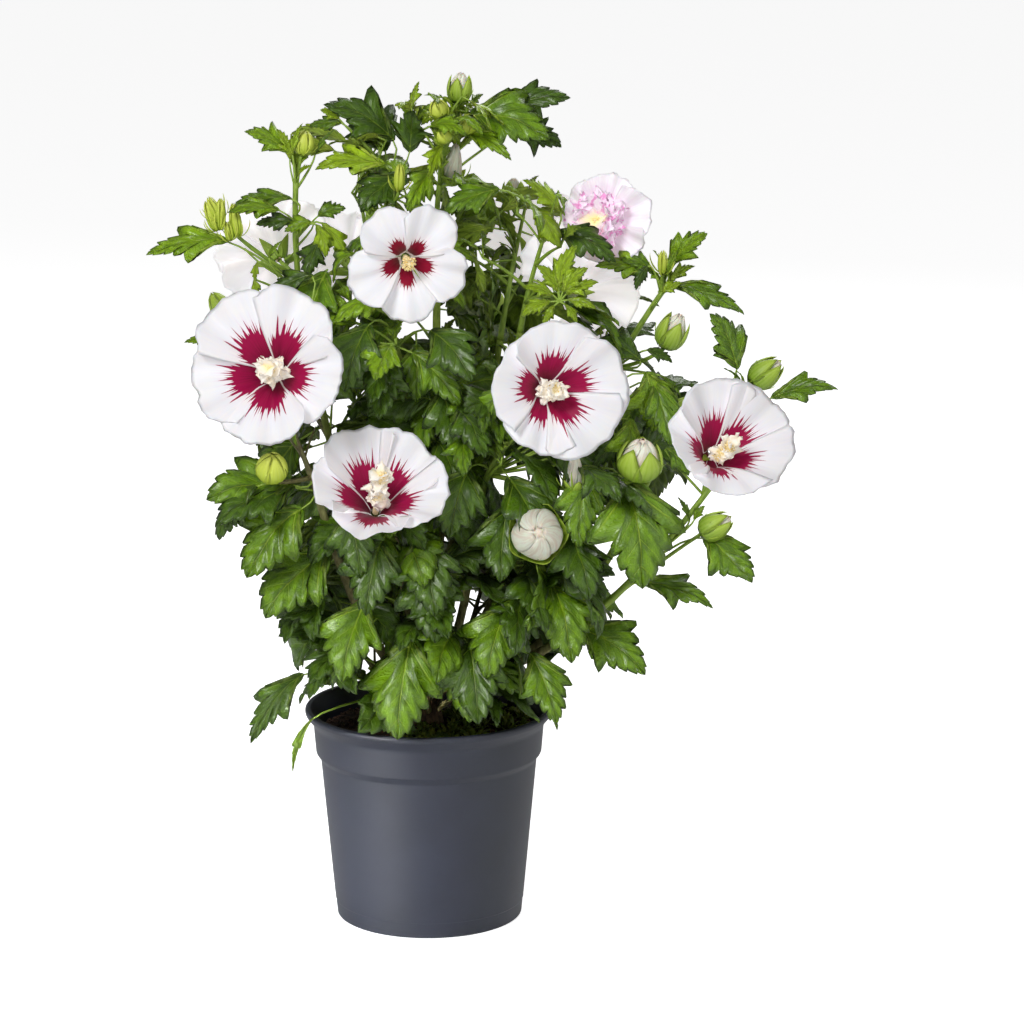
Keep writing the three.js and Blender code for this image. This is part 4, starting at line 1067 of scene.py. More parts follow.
def side_twigs(stem, mass, draw):
    made = []
    for k in range(mass["twigs"]):
        t = SIDE["start"] + SIDE["span"] * (k + draw()) / mass["twigs"]
        azimuth = mass["seed"] * SIDE["turn"] + k * LEAF["spiral"] + SIDE["sway"] * (draw() - 0.5)
        rise = mix(*SIDE["rise"], draw())
        long = mass["ball"][3] * mix(*SIDE["long"], draw())
        foot = stem.stepped(TWIG["stem_steps"], t)
        made.append(bowed(foot, foot + pointing(azimuth, rise) * long, TWIG["bow"]))
    return made


def leaf_direction(shoot, t, angle, outward):
    """The azimuth of a leaf that stands at an angle round its shoot and leans away from the middle."""
    way = shoot.way(t)
    side = shoot.across()
    side = unit(side - way * side.dot(way))
    centre = shoot.at(t)
    out = unit(point(centre[0], centre[1], 0)) * outward
    out = out + side * math.cos(angle) + np.cross(way, side) * math.sin(angle)
    return math.degrees(math.atan2(out[1], out[0]))


def leaves_on(shoot, steps, draw, whim):
    made = []
    long = shoot.length()
    count = LEAF["tries"] * (int((long - LEAF["first"]) // LEAF["spacing"]) + 1)
    phase = 360 * draw()
    for k in range(count):
        t = min(LEAF["last"], (LEAF["first"] + k * LEAF["spacing"] / LEAF["tries"]) / long)
        turn, droop, grow, roll = draw(), draw(), draw(), draw()
        angle = math.radians(phase + k * LEAF["spiral"] + LEAF["sway"] * (turn - 0.5))
        young = youth(shoot.at(t)[2], t)
        length = mix(LEAF["mature"], LEAF["young"], young) * (1 - LEAF["tip_shrink"] * t) * REAL_LEAF
        made.append(Leaf(
            shoot.stepped(steps, t), leaf_direction(shoot, t, angle, LEAF["outward"]),
            mix(*LEAF["droop"], droop), LEAF["roll_span"] * (roll - 0.5), length * mix(*LEAF["grow"], grow),
            mix(LEAF["width"], LEAF["young_width"], young * grow), tint_of(young, whim), whim))
    return made


def spray_leaves(tip, whim):
    """A fan of young leaves that faces the photographer."""
    made = []
    for long, angle in SPRAY:
        azimuth = -15 if abs(angle) < 90 else -165
        pitch = math.degrees(math.asin(math.sin(math.radians(angle)))) - LEAF["stalk_rise"] * 0.5
        made.append(Leaf(tip.end, azimuth, pitch, 0, long, 0.64, "lime", whim, fixed=True))
    return made


whim = Draws(401)
planned = [(name, tip) for name in MASSES for tip in tips[name]] + small_tips
for name, tip in planned:
    if tip.kind == "leaf":
        start = fork_for(stems[name], tip.end)
        wide = tip.width * FACING_WIDTH
        leaf = Leaf(tip.end, tip.azimuth, tip.pitch, 0, tip.size, wide, tip.look, whim, start, True)
        leaves.append(leaf)
        take(leaf.laid(SCOUTS))
for name, tip in small_tips:
    if tip.kind == "bud":
        twigs.append((twig_to(stems[name], tip), "spur"))
print(len(leaves), "leaves at the tips")

# %% [markdown]
# ## Growing mass by mass
# The masses are filled one after another. A twig or leaf that finds no room is left out, as a shrub drops
# what its own shade starves.

# %% Growth of the masses
def settle(own, found):
    """Keeps the leaves that have room in their mass and don't grow through others."""
    centre = BALLS[own, :3]
    reach = BALLS[own, 3] + BORDER["reach"]
    for leaf in found:
        spots = leaf.laid(SCOUTS)
        near = (np.linalg.norm(spots - centre, axis=1) < reach).all()
        middle = leaf.laid(point(0.3, 0, 0))[None]
        roomy = near and inside(middle, own)[0] > BORDER["middle"] and fits(spots, own)
        if roomy and clear_of_openings(spots).all() and not crowded(spots):
            leaves.append(leaf)
            take(spots)


shoots_of = {}
for own, (name, mass) in enumerate(MASSES.items()):
    draw = Draws(mass["seed"])
    grown = [(stems[name], TWIG["stem_steps"])]
    for tip in tips[name]:
        if tip.kind != "leaf":
            twig = twig_to(stems[name], tip)
            grown.append((twig, TWIG["steps"]))
            twigs.append((twig, "tip"))
    for twig in side_twigs(stems[name], mass, draw):
        if fits(twig.at(np.array(SIDE["tests"])), own):
            grown.append((twig, TWIG["steps"]))
            twigs.append((twig, "side"))
    shoots_of[name] = grown
    found = []
    for tip in tips[name]:
        if tip.kind == "spray":
            leaves += spray_leaves(tip, whim)
    if mass["twigs"]:
        for shoot, steps in grown:
            found += leaves_on(shoot, steps, draw, whim)
    settle(own, found)
print(len(leaves), "leaves and", len(twigs), "twigs have grown by the frame's rule")

# %% [markdown]
# ## Finer twigs
# The frame stops at twigs that carry large leaves. The living plant goes on: short spurs stand on every
# twig, with smaller leaves along them, and many shoots end in a tuft of folded young leaves. They fill the
# same space, so the plant grows denser and no wider. A spur that keeps no leaf is left out.

# %% Finer twigs
SPUR = {"long": (22, 46), "rise": (5, 62), "step": 17, "leaf": (0.5, 0.78), "spacing": 9, "first": 0.25}
TUFT = {"leaves": (4, 7), "size": (13, 27), "pitch": (28, 78), "width": 0.46}
# The share of spurs that end without a tuft
PLAIN_END = 0.55


def spurs_on(shoot, own, draw):
    made = []
    count = int(shoot.length() // SPUR["step"])
    for k in range(count):
        t = min(0.97, 0.15 + (k + draw()) / count * 0.85)
        foot = shoot.at(t)
        azimuth = leaf_direction(shoot, t, math.radians(k * LEAF["spiral"] + draw(0, 90)), 0.35)
        end = foot + pointing(azimuth, draw(*SPUR["rise"])) * draw(*SPUR["long"])
        spur = bowed(foot, end, TWIG["bow"])
        if fits(spur.at(np.array(SIDE["tests"])), own):
            made.append(spur)
    return made


def spur_leaves(spur, draw, whim):
    made = []
    count = int(spur.length() // SPUR["spacing"])
    phase = draw(0, 360)
    for k in range(count + 1):
        t = min(0.98, SPUR["first"] + (1 - SPUR["first"]) * k / max(1, count))
        young = youth(spur.at(t)[2], t)
        length = mix(LEAF["mature"], LEAF["young"], young) * draw(*SPUR["leaf"])
        angle = math.radians(phase + k * LEAF["spiral"])
        made.append(Leaf(
            spur.at(t), leaf_direction(spur, t, angle, LEAF["outward"]), draw(-58, 22),
            draw(-28, 28), length, mix(LEAF["width"], LEAF["young_width"], young * draw(0.8, 1.2)),
            tint_of(young + 0.06, whim), whim))
    return made


def tuft(place, draw, whim):
    """Small folded leaves round the end of a shoot."""
    made = []
    young = youth(place[2], 1)
    for k in range(int(draw(*TUFT["leaves"]))):
        made.append(Leaf(
            place, k * LEAF["spiral"] + draw(0, 60), draw(*TUFT["pitch"]), draw(-20, 20),
            draw(*TUFT["size"]), TUFT["width"], tint_of(0.45 + 0.5 * young, whim), whim))
    return made


fine_draw = Draws(619)
tuft_places = []
for own, name in enumerate(MASSES):
    spurs = []
    for shoot, steps in shoots_of[name]:
        spurs += spurs_on(shoot, own, fine_draw)
    # A mass with no side twigs makes its draws as well, so that the others keep theirs
    if not MASSES[name]["twigs"]:
        spurs = []
    for spur in spurs:
        before = len(leaves)
        settle(own, spur_leaves(spur, fine_draw, whim))
        if len(leaves) > before:
            twigs.append((spur, "spur"))
            if fine_draw() > PLAIN_END:
                settle(own, tuft(spur.at(1), fine_draw, whim))
    tuft_places.append(stems[name].at(1))
    for twig, kind in twigs:
        if kind == "side" and any(twig is shoot for shoot, _ in shoots_of[name]):
            tuft_places.append(twig.at(1))
for place in tuft_places:
    for leaf in tuft(place, fine_draw, whim):
        spots = leaf.laid(SCOUTS)
        if clear_of_blooms(spots).all() and clear_of_openings(spots).all():
            leaves.append(leaf)
print(len(leaves), "leaves and", len(twigs), "twigs in all")

# %% [markdown]
# ## Leaf finishes
# The blade is satin on top with pale veins, and matt and lighter below. Because every blade shares one map,
# the veins are lines at fixed places on it. Four tints are dealt out, from the deep green of old leaves to
# the lime of a young shoot, and each tint is a mesh of its own.

# %% Leaf finishes
VEINS = len(TEETH["lobed"]) + 1
LOBE_VEIN = 3
MOTTLE = (0.40, 0.46, 0.30, 1)
# Each tint has a colour above, one below and one for the veins, and a share of darker mottling
TINTS = {
    "deep": (paint(80, 116, 4), paint(112, 136, 38), paint(136, 164, 44), 0.9),
    "green": (paint(118, 160, 6), paint(140, 166, 46), paint(172, 200, 60), 0.9),
    "fresh": (paint(148, 190, 10), paint(164, 192, 52), paint(192, 216, 72), 0.7),
    "lime": (paint(172, 208, 18), paint(188, 212, 64), paint(212, 226, 90), 0.45),
}


def leaf_finish(name, top, under, vein, mottled):
    f = Finish(name, Coat_Weight=0.32, Coat_Roughness=0.26, Specular_IOR_Level=0.5)
    along, across, above = f.sheet_place()
    off = abs(across)
    number = (along - MAP_LOW) / (1 - 2 * MAP_LOW) * VEINS
    strand = abs((number + 0.5).rest() - 0.5)
    midrib = off.rises(0.045, 0.02)
    lobe_vein = abs(number - LOBE_VEIN).rises(0.07, 0.02) * off.rises(1.0, 0.3) * 0.8
    side_vein = strand.rises(0.05, 0.01) * off.rises(0.95, 0.2) * 0.5
    lines = 1 - (1 - midrib) * (1 - lobe_vein) * (1 - side_vein)
    net = f.map_grain(60, 60, 3).rises(0.46, 0.62)
    patch = f.map_grain(9, 9, 2)
    body = f.blend(above, under, top)
    shade = f.node("ShaderNodeMix", {"data_type": "RGBA", "blend_type": "MULTIPLY"},
                   patch.rises(0.32, 0.66) * mottled, body, MOTTLE)
    flecked = f.blend(net * 0.08, shade, vein)
    f.feed("Base Color", f.blend(lines * 0.62, flecked, vein))
    f.feed("Roughness", 0.58 - above * 0.28 + patch * 0.2)
    f.bump(net * 0.6 + patch * 2.2 - lines * 1.3, 0.8, 1.1)
    return f


leaf_finishes = {tint: leaf_finish("leaf_" + tint, *colours) for tint, colours in TINTS.items()}
print(len(leaf_finishes), "leaf finishes")

# %% Leaf meshes
for tint, finish in leaf_finishes.items():
    blades = Heap()
    for leaf in leaves:
        if leaf.tint == tint:
            blades.add(leaf.shell(), LEAF_SHELLS[leaf.size])
    blades.make("leaves_" + tint, finish, replaced=masses_in_frame if tint == "green" else ())

# %% [markdown]
# ## Twigs and stalks
# Young wood is smooth and green with slight swellings at even places along it. Stalks are thin and pale.
# Tubes along the same shoots that carried the leaves make both, a little thicker at the foot. A twig ends
# at its last leaf or spur, because a bare end would show against the sky.

# %% Twigs and stalks
TWIG_TUBE = Tube(9, 6)
STEM_TUBE = Tube(24, 10)
STALK = Tube(5, 4)
BARE_END = 2.1
GREEN_WOOD_LEVEL = 330


def twig_finish(name, colour, streak):
    f = Finish(name, Roughness=0.5)
    patch = f.map_grain(14, 6, 3)
    f.feed("Base Color", f.blend(patch.rises(0.35, 0.7), colour, streak))
    f.bump(f.map_grain(90, 10, 2), 0.2, 0.3)
    return f


def knuckled(rings, count, swell):
    """A slight swelling at even places along a twig."""
    t = np.linspace(0, 1, rings)
    return 1 + swell * np.maximum(0, np.cos(TURN * t * count)) ** 6


green_twigs = Heap()
old_twigs = Heap()


def twig_heap(shoot):
    """Young wood is green. It begins lower on the sunny right side."""
    middle = shoot.at(0.5)
    return green_twigs if middle[2] + 0.7 * middle[0] > GREEN_WOOD_LEVEL else old_twigs


for name, stem in stems.items():
    start = BOUGHS[name][3][1] if name in BOUGHS else TWIG["stem_radius"]
    last = TWIG["radius"] * 0.7 if MASSES[name]["twigs"] else BARE_END
    radii = np.linspace(start, last, STEM_TUBE.rings) * knuckled(STEM_TUBE.rings, 3, 0.12)
    twig_heap(stem).add(STEM_TUBE.points(stem.at(STEM_TUBE.shares()), radii), STEM_TUBE)
TWIG_ENDS = {"tip": (1.9, 1.4), "side": (1.6, 0.9), "spur": (1.1, 0.7)}
# A leaf or spur stands on a twig where its foot is this near
NEAR = 4
feet = np.array([leaf.foot for leaf in leaves] + [twig.at(0) for twig, kind in twigs if kind == "spur"])


def used(twig):
    """The share of a twig up to its last leaf or spur."""
    t = np.linspace(0, 1, 31)
    away = np.linalg.norm(twig.at(t)[:, None] - feet[None], axis=2).min(1)
    return t[away < NEAR].max(initial=0)


cut = 0
for twig, kind in twigs:
    share = 1 if kind == "tip" else used(twig)
    cut += share < 0.97
    if share > 0.1:
        radii = np.linspace(*TWIG_ENDS[kind], TWIG_TUBE.rings) * knuckled(TWIG_TUBE.rings, 2, 0.14)
        path = twig.at(np.linspace(0, share, TWIG_TUBE.rings))
        twig_heap(twig).add(TWIG_TUBE.points(path, radii), TWIG_TUBE)
print(cut, "twigs end at their last leaf")
stalks = Heap()
for leaf in leaves:
    radius = 1.1 if leaf.start is not None else 0.8 + leaf.length * 0.003
    path = leaf.stalk().at(STALK.shares())
    stalks.add(STALK.points(path, np.linspace(radius, 0.65, STALK.rings)), STALK)
young_wood = twig_finish("young_wood", paint(142, 170, 58), paint(112, 142, 42))
older_wood = twig_finish("older_wood", paint(124, 122, 72), paint(92, 82, 52))
stalk_green = twig_finish("stalk", paint(160, 188, 74), paint(130, 162, 56))
green_twigs.make("twigs_green", young_wood)
old_twigs.make("twigs_old", older_wood)
stalks.make("leaf_stalks", stalk_green)

# %% [markdown]
# ## Petals
# A bloom opens from a narrow throat into a wide dish of five broad petals that overlap like tiles, each
# with one edge over its neighbour. A bent line that is steep in the throat and flat at the rim draws the
# petal from its foot outward. Slow waves, a few creases and fine crimps near the rim give the crushed silk
# look.

# %% Petal shapes
PETAL_ROWS = 23
PETAL_SHELL = even_shell(PETAL_ROWS, 23)
PETAL_THICK = 0.5
CLAW = 3.2
FOLDS = 4
# rim is a slope in degrees, span half the angle of a petal, lobe how far its corners stay back, ruffle how
# wavy it is, phase turns the petals, and column is the column's length as a share of the radius. lean moves
# the throat right and up, squash makes the rim wider and lower, frills counts the ribbons on the column,
# frill enlarges them, and lift gives their slopes
FORMS = {
    "double": dict(rim=6, span=47, lobe=0.20, ruffle=1.3, phase=57, eye="wide", frills=34, column=0.44,
                   lean=(3, -4)),
    "cup": dict(rim=32, span=47, lobe=0.20, ruffle=1.2, phase=40, eye="wide", frills=34, column=0.66),
    "round": dict(rim=6, span=52, lobe=0.13, ruffle=0.8, phase=18, eye="wide", frills=34, column=0.42,
                  lean=(-6, 0)),
    "funnel": dict(rim=14, span=50, lobe=0.14, ruffle=0.8, phase=30, eye="wide", frills=18, column=0.50,
                   lean=(-8, -10), squash=(1.08, 0.92)),
    "single": dict(rim=-6, span=41, lobe=0.27, ruffle=0.9, phase=54, eye="spot", frills=0, column=0.45),
    "ruffled": dict(rim=10, span=48, lobe=0.18, ruffle=1.7, phase=10, eye="wide", frills=12, column=0.45),
    "faded": dict(rim=8, span=46, lobe=0.16, ruffle=1.5, phase=14, eye="faded", frills=110, column=0.42,
                  lean=(-6, -3), frill=2.9, lift=(-12, 34)),
}


def summed(steps):
    return np.concatenate([[0], np.cumsum(steps)])


def even_line(corners, steps):
    """Radii and heights of even steps along a curve from a foot by way of a turn to a rim."""
    shoot = Shoot(*corners)
    spots = shoot.at(np.linspace(0, 1, 80))
    walked = summed(np.linalg.norm(np.diff(spots, axis=0), axis=1))
    even = np.linspace(0, walked[-1], steps)
    return np.interp(even, walked, spots[:, 0]), np.interp(even, walked, spots[:, 1])


def slope_line(first, last, bend, long, steps):
    """Run and climb of a line that leaves at one slope and ends at another."""
    s = np.linspace(0, 1, steps)
    slope = np.radians(last + (first - last) * (1 - s) ** bend)
    run = summed((np.cos(slope[1:]) + np.cos(slope[:-1])) / 2)
    climb = summed((np.sin(slope[1:]) + np.sin(slope[:-1])) / 2)
    return run / (steps - 1) * long, climb / (steps - 1) * long


def petal(form, radius, cup, turn, draw):
    """The upper side of a petal, round the axis that its bloom faces along."""
    s, q = PETAL_SHELL.s, PETAL_SHELL.q
    reach = radius * draw(0.95, 1.04)
    rim = math.tan(math.radians(form["rim"] + draw(-7, 7)))
    turn_at = CLAW + 0.22 * reach
    high = reach * cup
    line_r, line_z = even_line(
        [(CLAW, -THROAT, 0), (turn_at, high - (reach - turn_at) * rim, 0), (reach, high, 0)], PETAL_ROWS)
    edge = 1 - form["lobe"] * np.abs(q - draw(-0.12, 0.12)) ** 2.4
    edge = edge - 0.03 * np.cos(math.pi * (q + draw(-0.2, 0.2))) ** 8
    edge = edge + 0.010 * np.sin(9 * q + draw(*PHASE)) + 0.008 * np.sin(17 * q + draw(*PHASE))
    edge = 1 + (edge - 1) * s ** 1.5
    r = line_r[:, None] * edge
    z = line_z[:, None] + 0 * q
    half = np.radians(form["span"] * (0.72 + 0.28 * np.sin(np.minimum(s * 1.4, 1) * math.pi / 2)))
    angle = math.radians(turn) + half * q
    ruffle = form["ruffle"] * radius / 50
    slow = 3.4 * np.sin(1.5 * math.pi * q + draw(*PHASE)) + 1.8 * np.sin(3.3 * math.pi * q + draw(*PHASE))
    bent = q + 0.06 * np.sin(5 * q + draw(*PHASE))
    crimp = np.sin(7 * math.pi * bent + draw(*PHASE)) * (0.5 + 0.6 * np.sin(2.2 * math.pi * q + draw(*PHASE)))
    z = z + ruffle * (slow * s ** 1.8 + crimp * s ** 4)
    for _ in range(FOLDS):
        fold_at = draw(-0.75, 0.75) + draw(-0.2, 0.2) * s
        fold = np.exp(-((q - fold_at) / draw(0.12, 0.22)) ** 2) * draw(-2.2, 2.4)
        z = z + ruffle * fold * s * (1.3 - s)
    z = z + 3.2 * q * s - 3.0 * s ** 2 * (1 - q ** 2)
    r = r + ruffle * 0.4 * s ** 5 * np.sin(9 * math.pi * bent + draw(*PHASE))
    wide, tall = form.get("squash", (1, 1))
    lean = np.minimum(1, s / 0.18) * (1 - s) ** 0.8
    over, up = form.get("lean", (0, 0))
    return np.stack([r * np.cos(angle) * wide + over * lean, r * np.sin(angle) * tall + up * lean, z], -1)


print("a petal has", len(PETAL_SHELL.faces), "triangles")

# %% [markdown]
# ## Frills, column and anthers
# From the throat rises the column, a pale tube set with small anthers. In a half-double bloom some of them
# have turned into white ribbons with torn edges that hide the foot of the petals. The ribbons are narrow
# shells that leave the column in a spiral, and each anther is a little bead.

# %% Frills and column
FRILL_ROWS = 8
FRILL_SHELL = even_shell(FRILL_ROWS, 5)
COLUMN = Tube(12, 8)
ANTHERS = 90


def bead_shape():
    """A round bead of twelve points and twenty faces."""
    g = (1 + math.sqrt(5)) / 2
    corners = np.array([(-1, g, 0), (1, g, 0), (-1, -g, 0), (1, -g, 0), (0, -1, g), (0, 1, g),
                        (0, -1, -g), (0, 1, -g), (g, 0, -1), (g, 0, 1), (-g, 0, -1), (-g, 0, 1)])
    faces = np.array([(0, 11, 5), (0, 5, 1), (0, 1, 7), (0, 7, 10), (0, 10, 11), (1, 5, 9), (5, 11, 4),
                      (11, 10, 2), (10, 7, 6), (7, 1, 8), (3, 9, 4), (3, 4, 2), (3, 2, 6), (3, 6, 8),
                      (3, 8, 9), (4, 9, 5), (2, 4, 11), (6, 2, 10), (8, 6, 7), (9, 8, 1)])
    return corners / np.linalg.norm(corners[0]), faces


class Bead:
    points, faces = bead_shape()
    map = np.tile([(0.1, 0.1), (0.9, 0.1), (0.5, 0.9)], (20, 1))


def out_and_round(turn):
    """The way out from an upright axis at a turn in degrees, and the way round it."""
    a = math.radians(turn)
    return point(math.cos(a), math.sin(a), 0), point(-math.sin(a), math.cos(a), 0)


def frill(foot, turn, lift, curl, long, wide, draw):
    """A torn ribbon that leaves a point of the column, in the bloom's own directions."""
    s, q = FRILL_SHELL.s, FRILL_SHELL.q
    run, climb = slope_line(lift, lift - curl, 1.0, long, FRILL_ROWS)
    spread = np.sin(math.pi * (0.12 + 0.80 * s ** 0.8)) ** 0.7
    torn = 1 + 0.25 * np.sin(draw(*PHASE) + 14 * s) * (np.abs(q) > 0.8) + 0.12 * np.sin(draw(*PHASE) + 23 * s)
    y = q * wide / 2 * spread * torn
    out = run[:, None] * (1 - 0.18 * np.abs(q) * s + 0.08 * np.sin(3 * math.pi * q + draw(*PHASE)) * s)
    cupped = draw(-0.25, 0.5) * wide * q ** 2 * s
    z = climb[:, None] + cupped + 1.3 * np.sin(2.5 * math.pi * q + draw(*PHASE)) * s
    radial, around = out_and_round(turn)
    high = np.broadcast_to(z, y.shape)[..., None] * UP
    return foot + out[..., None] * radial + y[..., None] * around + high


print("a ribbon has", len(FRILL_SHELL.faces), "triangles")

# %% [markdown]
# ## Petal finishes
# The eye of the bloom is crimson in the throat and runs out along the petal in feathery points. Its edge is
# a formula: how far out the crimson reaches at each place across the petal, with a sawtooth of spikes
# whose lengths are drawn at random. The silk of the petal has faint veins that run from foot to rim. Light
# shines through a real petal; here a painted glow of its own colour stands in for it and lifts the shade
# between the petals, strong on its back and weak on its face.

# %% Petal finishes
def petal_finish(name, eye, deep_eye, silk, reach, spike, spikes, waist, start):
    """The eye reaches so far along the petal, with spikes of a length and number, less at its sides."""
    f = Finish(name, Specular_IOR_Level=0.2, Subsurface_Weight=0.1, Subsurface_Scale=0.003,
               Sheen_Weight=0.05, Sheen_Roughness=0.4, Emission_Strength=0.60)
    along, across, above = f.sheet_place()
    off = abs(across)
    lane = (across + f.map_grain(1.5, 9, 2) * 0.10) * spikes + 40
    length = f.node("ShaderNodeTexWhiteNoise", {"noise_dimensions": "1D"}, lane.whole())
    narrow = 1 - abs(lane.rest() - 0.5) * 2
    fine = across * (spikes * 2.7) + 90.3
    fine_length = f.node("ShaderNodeTexWhiteNoise", {"noise_dimensions": "1D"}, fine.whole())
    fine_narrow = 1 - abs(fine.rest() - 0.5) * 2
    edge = reach - off ** 2.2 * waist
    edge = edge + spike * narrow ** 2.2 * (0.15 + 0.85 * length) * (1.1 - off * 0.5)
    edge = edge + spike * 0.5 * fine_narrow ** 2 * fine_length
    inside_eye = (along - edge).rises(0.012, -0.012) * off.rises(0.94, 0.84)
    opened = (along - start - off * start * 0.6).rises(-0.02, 0.03)
    mask = inside_eye * opened
    halo = (along - edge).rises(0.18, -0.02) * off.rises(1.0, 0.7) * above * 0.22
    silk_lines = f.map_grain(2.2, 70, 2)
    clouds = f.map_grain(3.5, 5, 2)
    white = f.blend((silk_lines * 0.4 + clouds * 0.6).rises(0.40, 0.66) * 0.6, silk[0], silk[1])
    pinked = f.blend(halo * silk_lines.rises(0.3, 0.7), white, silk[2])
    depth = f.blend((along / reach + silk_lines * 0.5 - 0.3).rises(0.15, 0.95), deep_eye, eye)
    colour = f.blend(mask * (0.05 + 0.95 * above), pinked, depth)
    f.feed("Base Color", colour)
    # Painted glow: the back gives out light of its own colour and the face a fifth of it, standing in for
    # light shining through and lifting the shade between petals
    f.feed("Emission Color", f.blend(above * 0.80, colour, (0, 0, 0, 1)))
    f.feed("Roughness", 0.62 - mask * 0.12)
    f.bump(silk_lines * 0.5 + clouds * 0.5, 0.18, 0.5)
    return f


SILK = (paint(229, 226, 227), paint(224, 224, 232), paint(226, 160, 190))
FADED_SILK = (paint(244, 241, 244), paint(236, 224, 236), paint(236, 206, 226))
petal_finishes = {
    "wide": petal_finish("petal_wide_eye", paint(146, 0, 62), paint(92, 0, 38), SILK,
                         reach=0.54, spike=0.28, spikes=6.0, waist=0.27, start=0.02),
    "spot": petal_finish("petal_spot_eye", paint(132, 0, 40), paint(76, 0, 22), SILK,
                         reach=0.47, spike=0.18, spikes=5.0, waist=0.34, start=0.10),
    "faded": petal_finish("petal_faded", paint(240, 200, 224), paint(232, 170, 204), FADED_SILK,
                          reach=0.16, spike=0.10, spikes=5.0, waist=0.10, start=0.02),
}


def frill_finish(name, foot, tip, blush):
    # The ribbons and the column glow in their own colour: a painted glow that lifts the shade among the
    # ribbons
    f = Finish(name, Roughness=0.6, Sheen_Weight=0.1, Emission_Strength=0.24)
    along, _, _ = f.sheet_place()
    plain = f.blend(along.rises(0.05, 0.6), foot, tip)
    colour = f.blend(f.grain(5, 2).rises(0.50, 0.60) * along.rises(0.2, 0.7) * 0.8, plain, blush)
    f.feed("Base Color", colour)
    f.feed("Emission Color", colour)
    f.bump(f.map_grain(4, 24, 2), 0.2, 0.4)
    return f


white_frill = frill_finish("frill_white", paint(236, 218, 170), paint(236, 230, 220), paint(236, 222, 200))
faded_frill = frill_finish("frill_faded", paint(252, 242, 178), paint(244, 226, 240), paint(226, 130, 196))
column_finish = frill_finish("column", paint(234, 212, 164), paint(238, 226, 184), paint(238, 220, 172))
anther_finish = Finish("anther", Roughness=0.7)
anther_finish.feed("Base Color", anther_finish.blend(
    anther_finish.grain(1.5).rises(0.4, 0.6), paint(252, 240, 190), paint(240, 208, 130)))
print(len(petal_finishes), "petal finishes")

# %% [markdown]
# ## Putting the blooms together
# A bloom is built at the origin, looking up, and then turned to face as its tip says. Its petals are a mesh
# of their own. Its ribbons, column, anthers and sepals join those of the other blooms.

# %% The blooms
SEPAL_ROWS = 8
SEPAL_SHELL = even_shell(SEPAL_ROWS, 5)
frills = Heap()
faded_frills = Heap()
columns = Heap()
anthers = Heap()
sepals = Heap()
lime_sepals = Heap()


def sepal(turn, r, z, wide, cup):
    """A pointed sepal along the line of radii and heights, in the directions of its bloom or bud."""
    s, q = SEPAL_SHELL.s, SEPAL_SHELL.q
    half = wide / 2 * np.minimum(1, 0.55 + 1.2 * s) * (1 - s ** 2.2) + 0.15
    radial, around = out_and_round(turn)
    inward = cup * half * q ** 2
    out = (np.asarray(r)[:, None] - inward)[..., None] * radial
    high = np.broadcast_to(np.asarray(z)[:, None], half.shape)[..., None] * UP
    return out + (q * half)[..., None] * around + high


def bracts(tip, back, radius, long, count, heap, draw):
    """The ring of thin bracts under a calyx."""
    for k in range(count):
        run, climb = slope_line(draw(5, 30), draw(70, 105), 1.2, long * draw(0.8, 1.15), SEPAL_ROWS)
        top = sepal(k * 360 / count + draw(-8, 8), radius + run, back + climb, 1.9, 0.1)
        heap.add(SEPAL_SHELL.points(tip.placed(top), 0.4), SEPAL_SHELL)


def bloom(tip, label, draw):
    """Five petals, the column with what stands on it, and the calyx with its bracts."""
    form = FORMS[tip.look]
    petals = Heap()
    for k in range(5):
        top = petal(form, tip.size, tip.cup, form["phase"] + 72 * k + draw(-4, 4), draw)
        placed = tip.placed(top)
        petals.add(PETAL_SHELL.points(placed, PETAL_THICK), PETAL_SHELL)
        take(placed[::4, ::4].reshape(-1, 3))
    petals.make("bloom_" + label, petal_finishes[form["eye"]])
    add_column(tip, form, draw)
    for k in range(5):
        run, climb = slope_line(64, 30, 1.6, 22, SEPAL_ROWS)
        top = sepal(form["phase"] + 36 + 72 * k, 3.5 + run, -THROAT - 3.5 + climb, 10, 0.25)
        sepals.add(SEPAL_SHELL.points(tip.placed(top), 0.5), SEPAL_SHELL)
    bracts(tip, -THROAT - 4, 3, 15, 7, sepals, draw)


def add_column(tip, form, draw):
    """The column with its anthers, and the ribbons of a half-double bloom."""
    long = form["column"] * tip.size + THROAT
    over, up = form.get("lean", (0, 0))

    def middle(h):
        return point(over * min(1, 2.4 * h), 2.2 * h * h + up * min(1, 2.4 * h), 1 - THROAT + long * h)

    line = np.array([middle(h) for h in COLUMN.shares()])
    columns.add(COLUMN.points(tip.placed(line), np.linspace(2.4, 1.2, COLUMN.rings)), COLUMN)
    for k in range(ANTHERS):
        h = draw(0.40, 1.0)
        a = math.radians(k * LEAF["spiral"])
        spot = middle(h) + point(math.cos(a), math.sin(a), 0.2) * draw(1.8, 5.4)
        anthers.add(tip.placed(spot + Bead.points * draw(0.6, 1.1)), Bead)
    heap = faded_frills if tip.look == "faded" else frills
    for k in range(form["frills"]):
        h = 0.22 + 0.74 * (k + draw()) / form["frills"]
        large = form.get("frill", 1) * tip.size
        top = frill(middle(h), k * LEAF["spiral"], draw(*form.get("lift", (-5, 50))) + 25 * h, draw(-20, 80),
                    draw(0.15, 0.29) * large, draw(0.12, 0.22) * large, draw)
        heap.add(FRILL_SHELL.points(tip.placed(top), 0.4), FRILL_SHELL)


for name, rows in tips.items():
    found = [tip for tip in rows if tip.kind == "bloom"]
    for k, tip in enumerate(found):
        bloom(tip, name + ("_2" if k else ""), Draws(MASSES[name]["seed"] * 3 + k))

# %% [markdown]
# ## Buds
# A bud is a pointed egg in five green sepals, with a ring of thin bracts at its foot. As it opens, the
# sepals part and rolled white petals show, each with one edge over the next. The closed heart is a tube
# whose rings swell and shrink, and the rolled petals are shells laid round it.

# %% Buds
BUD_TUBE = Tube(16, 20)
ROLL_SHELL = even_shell(14, 13)
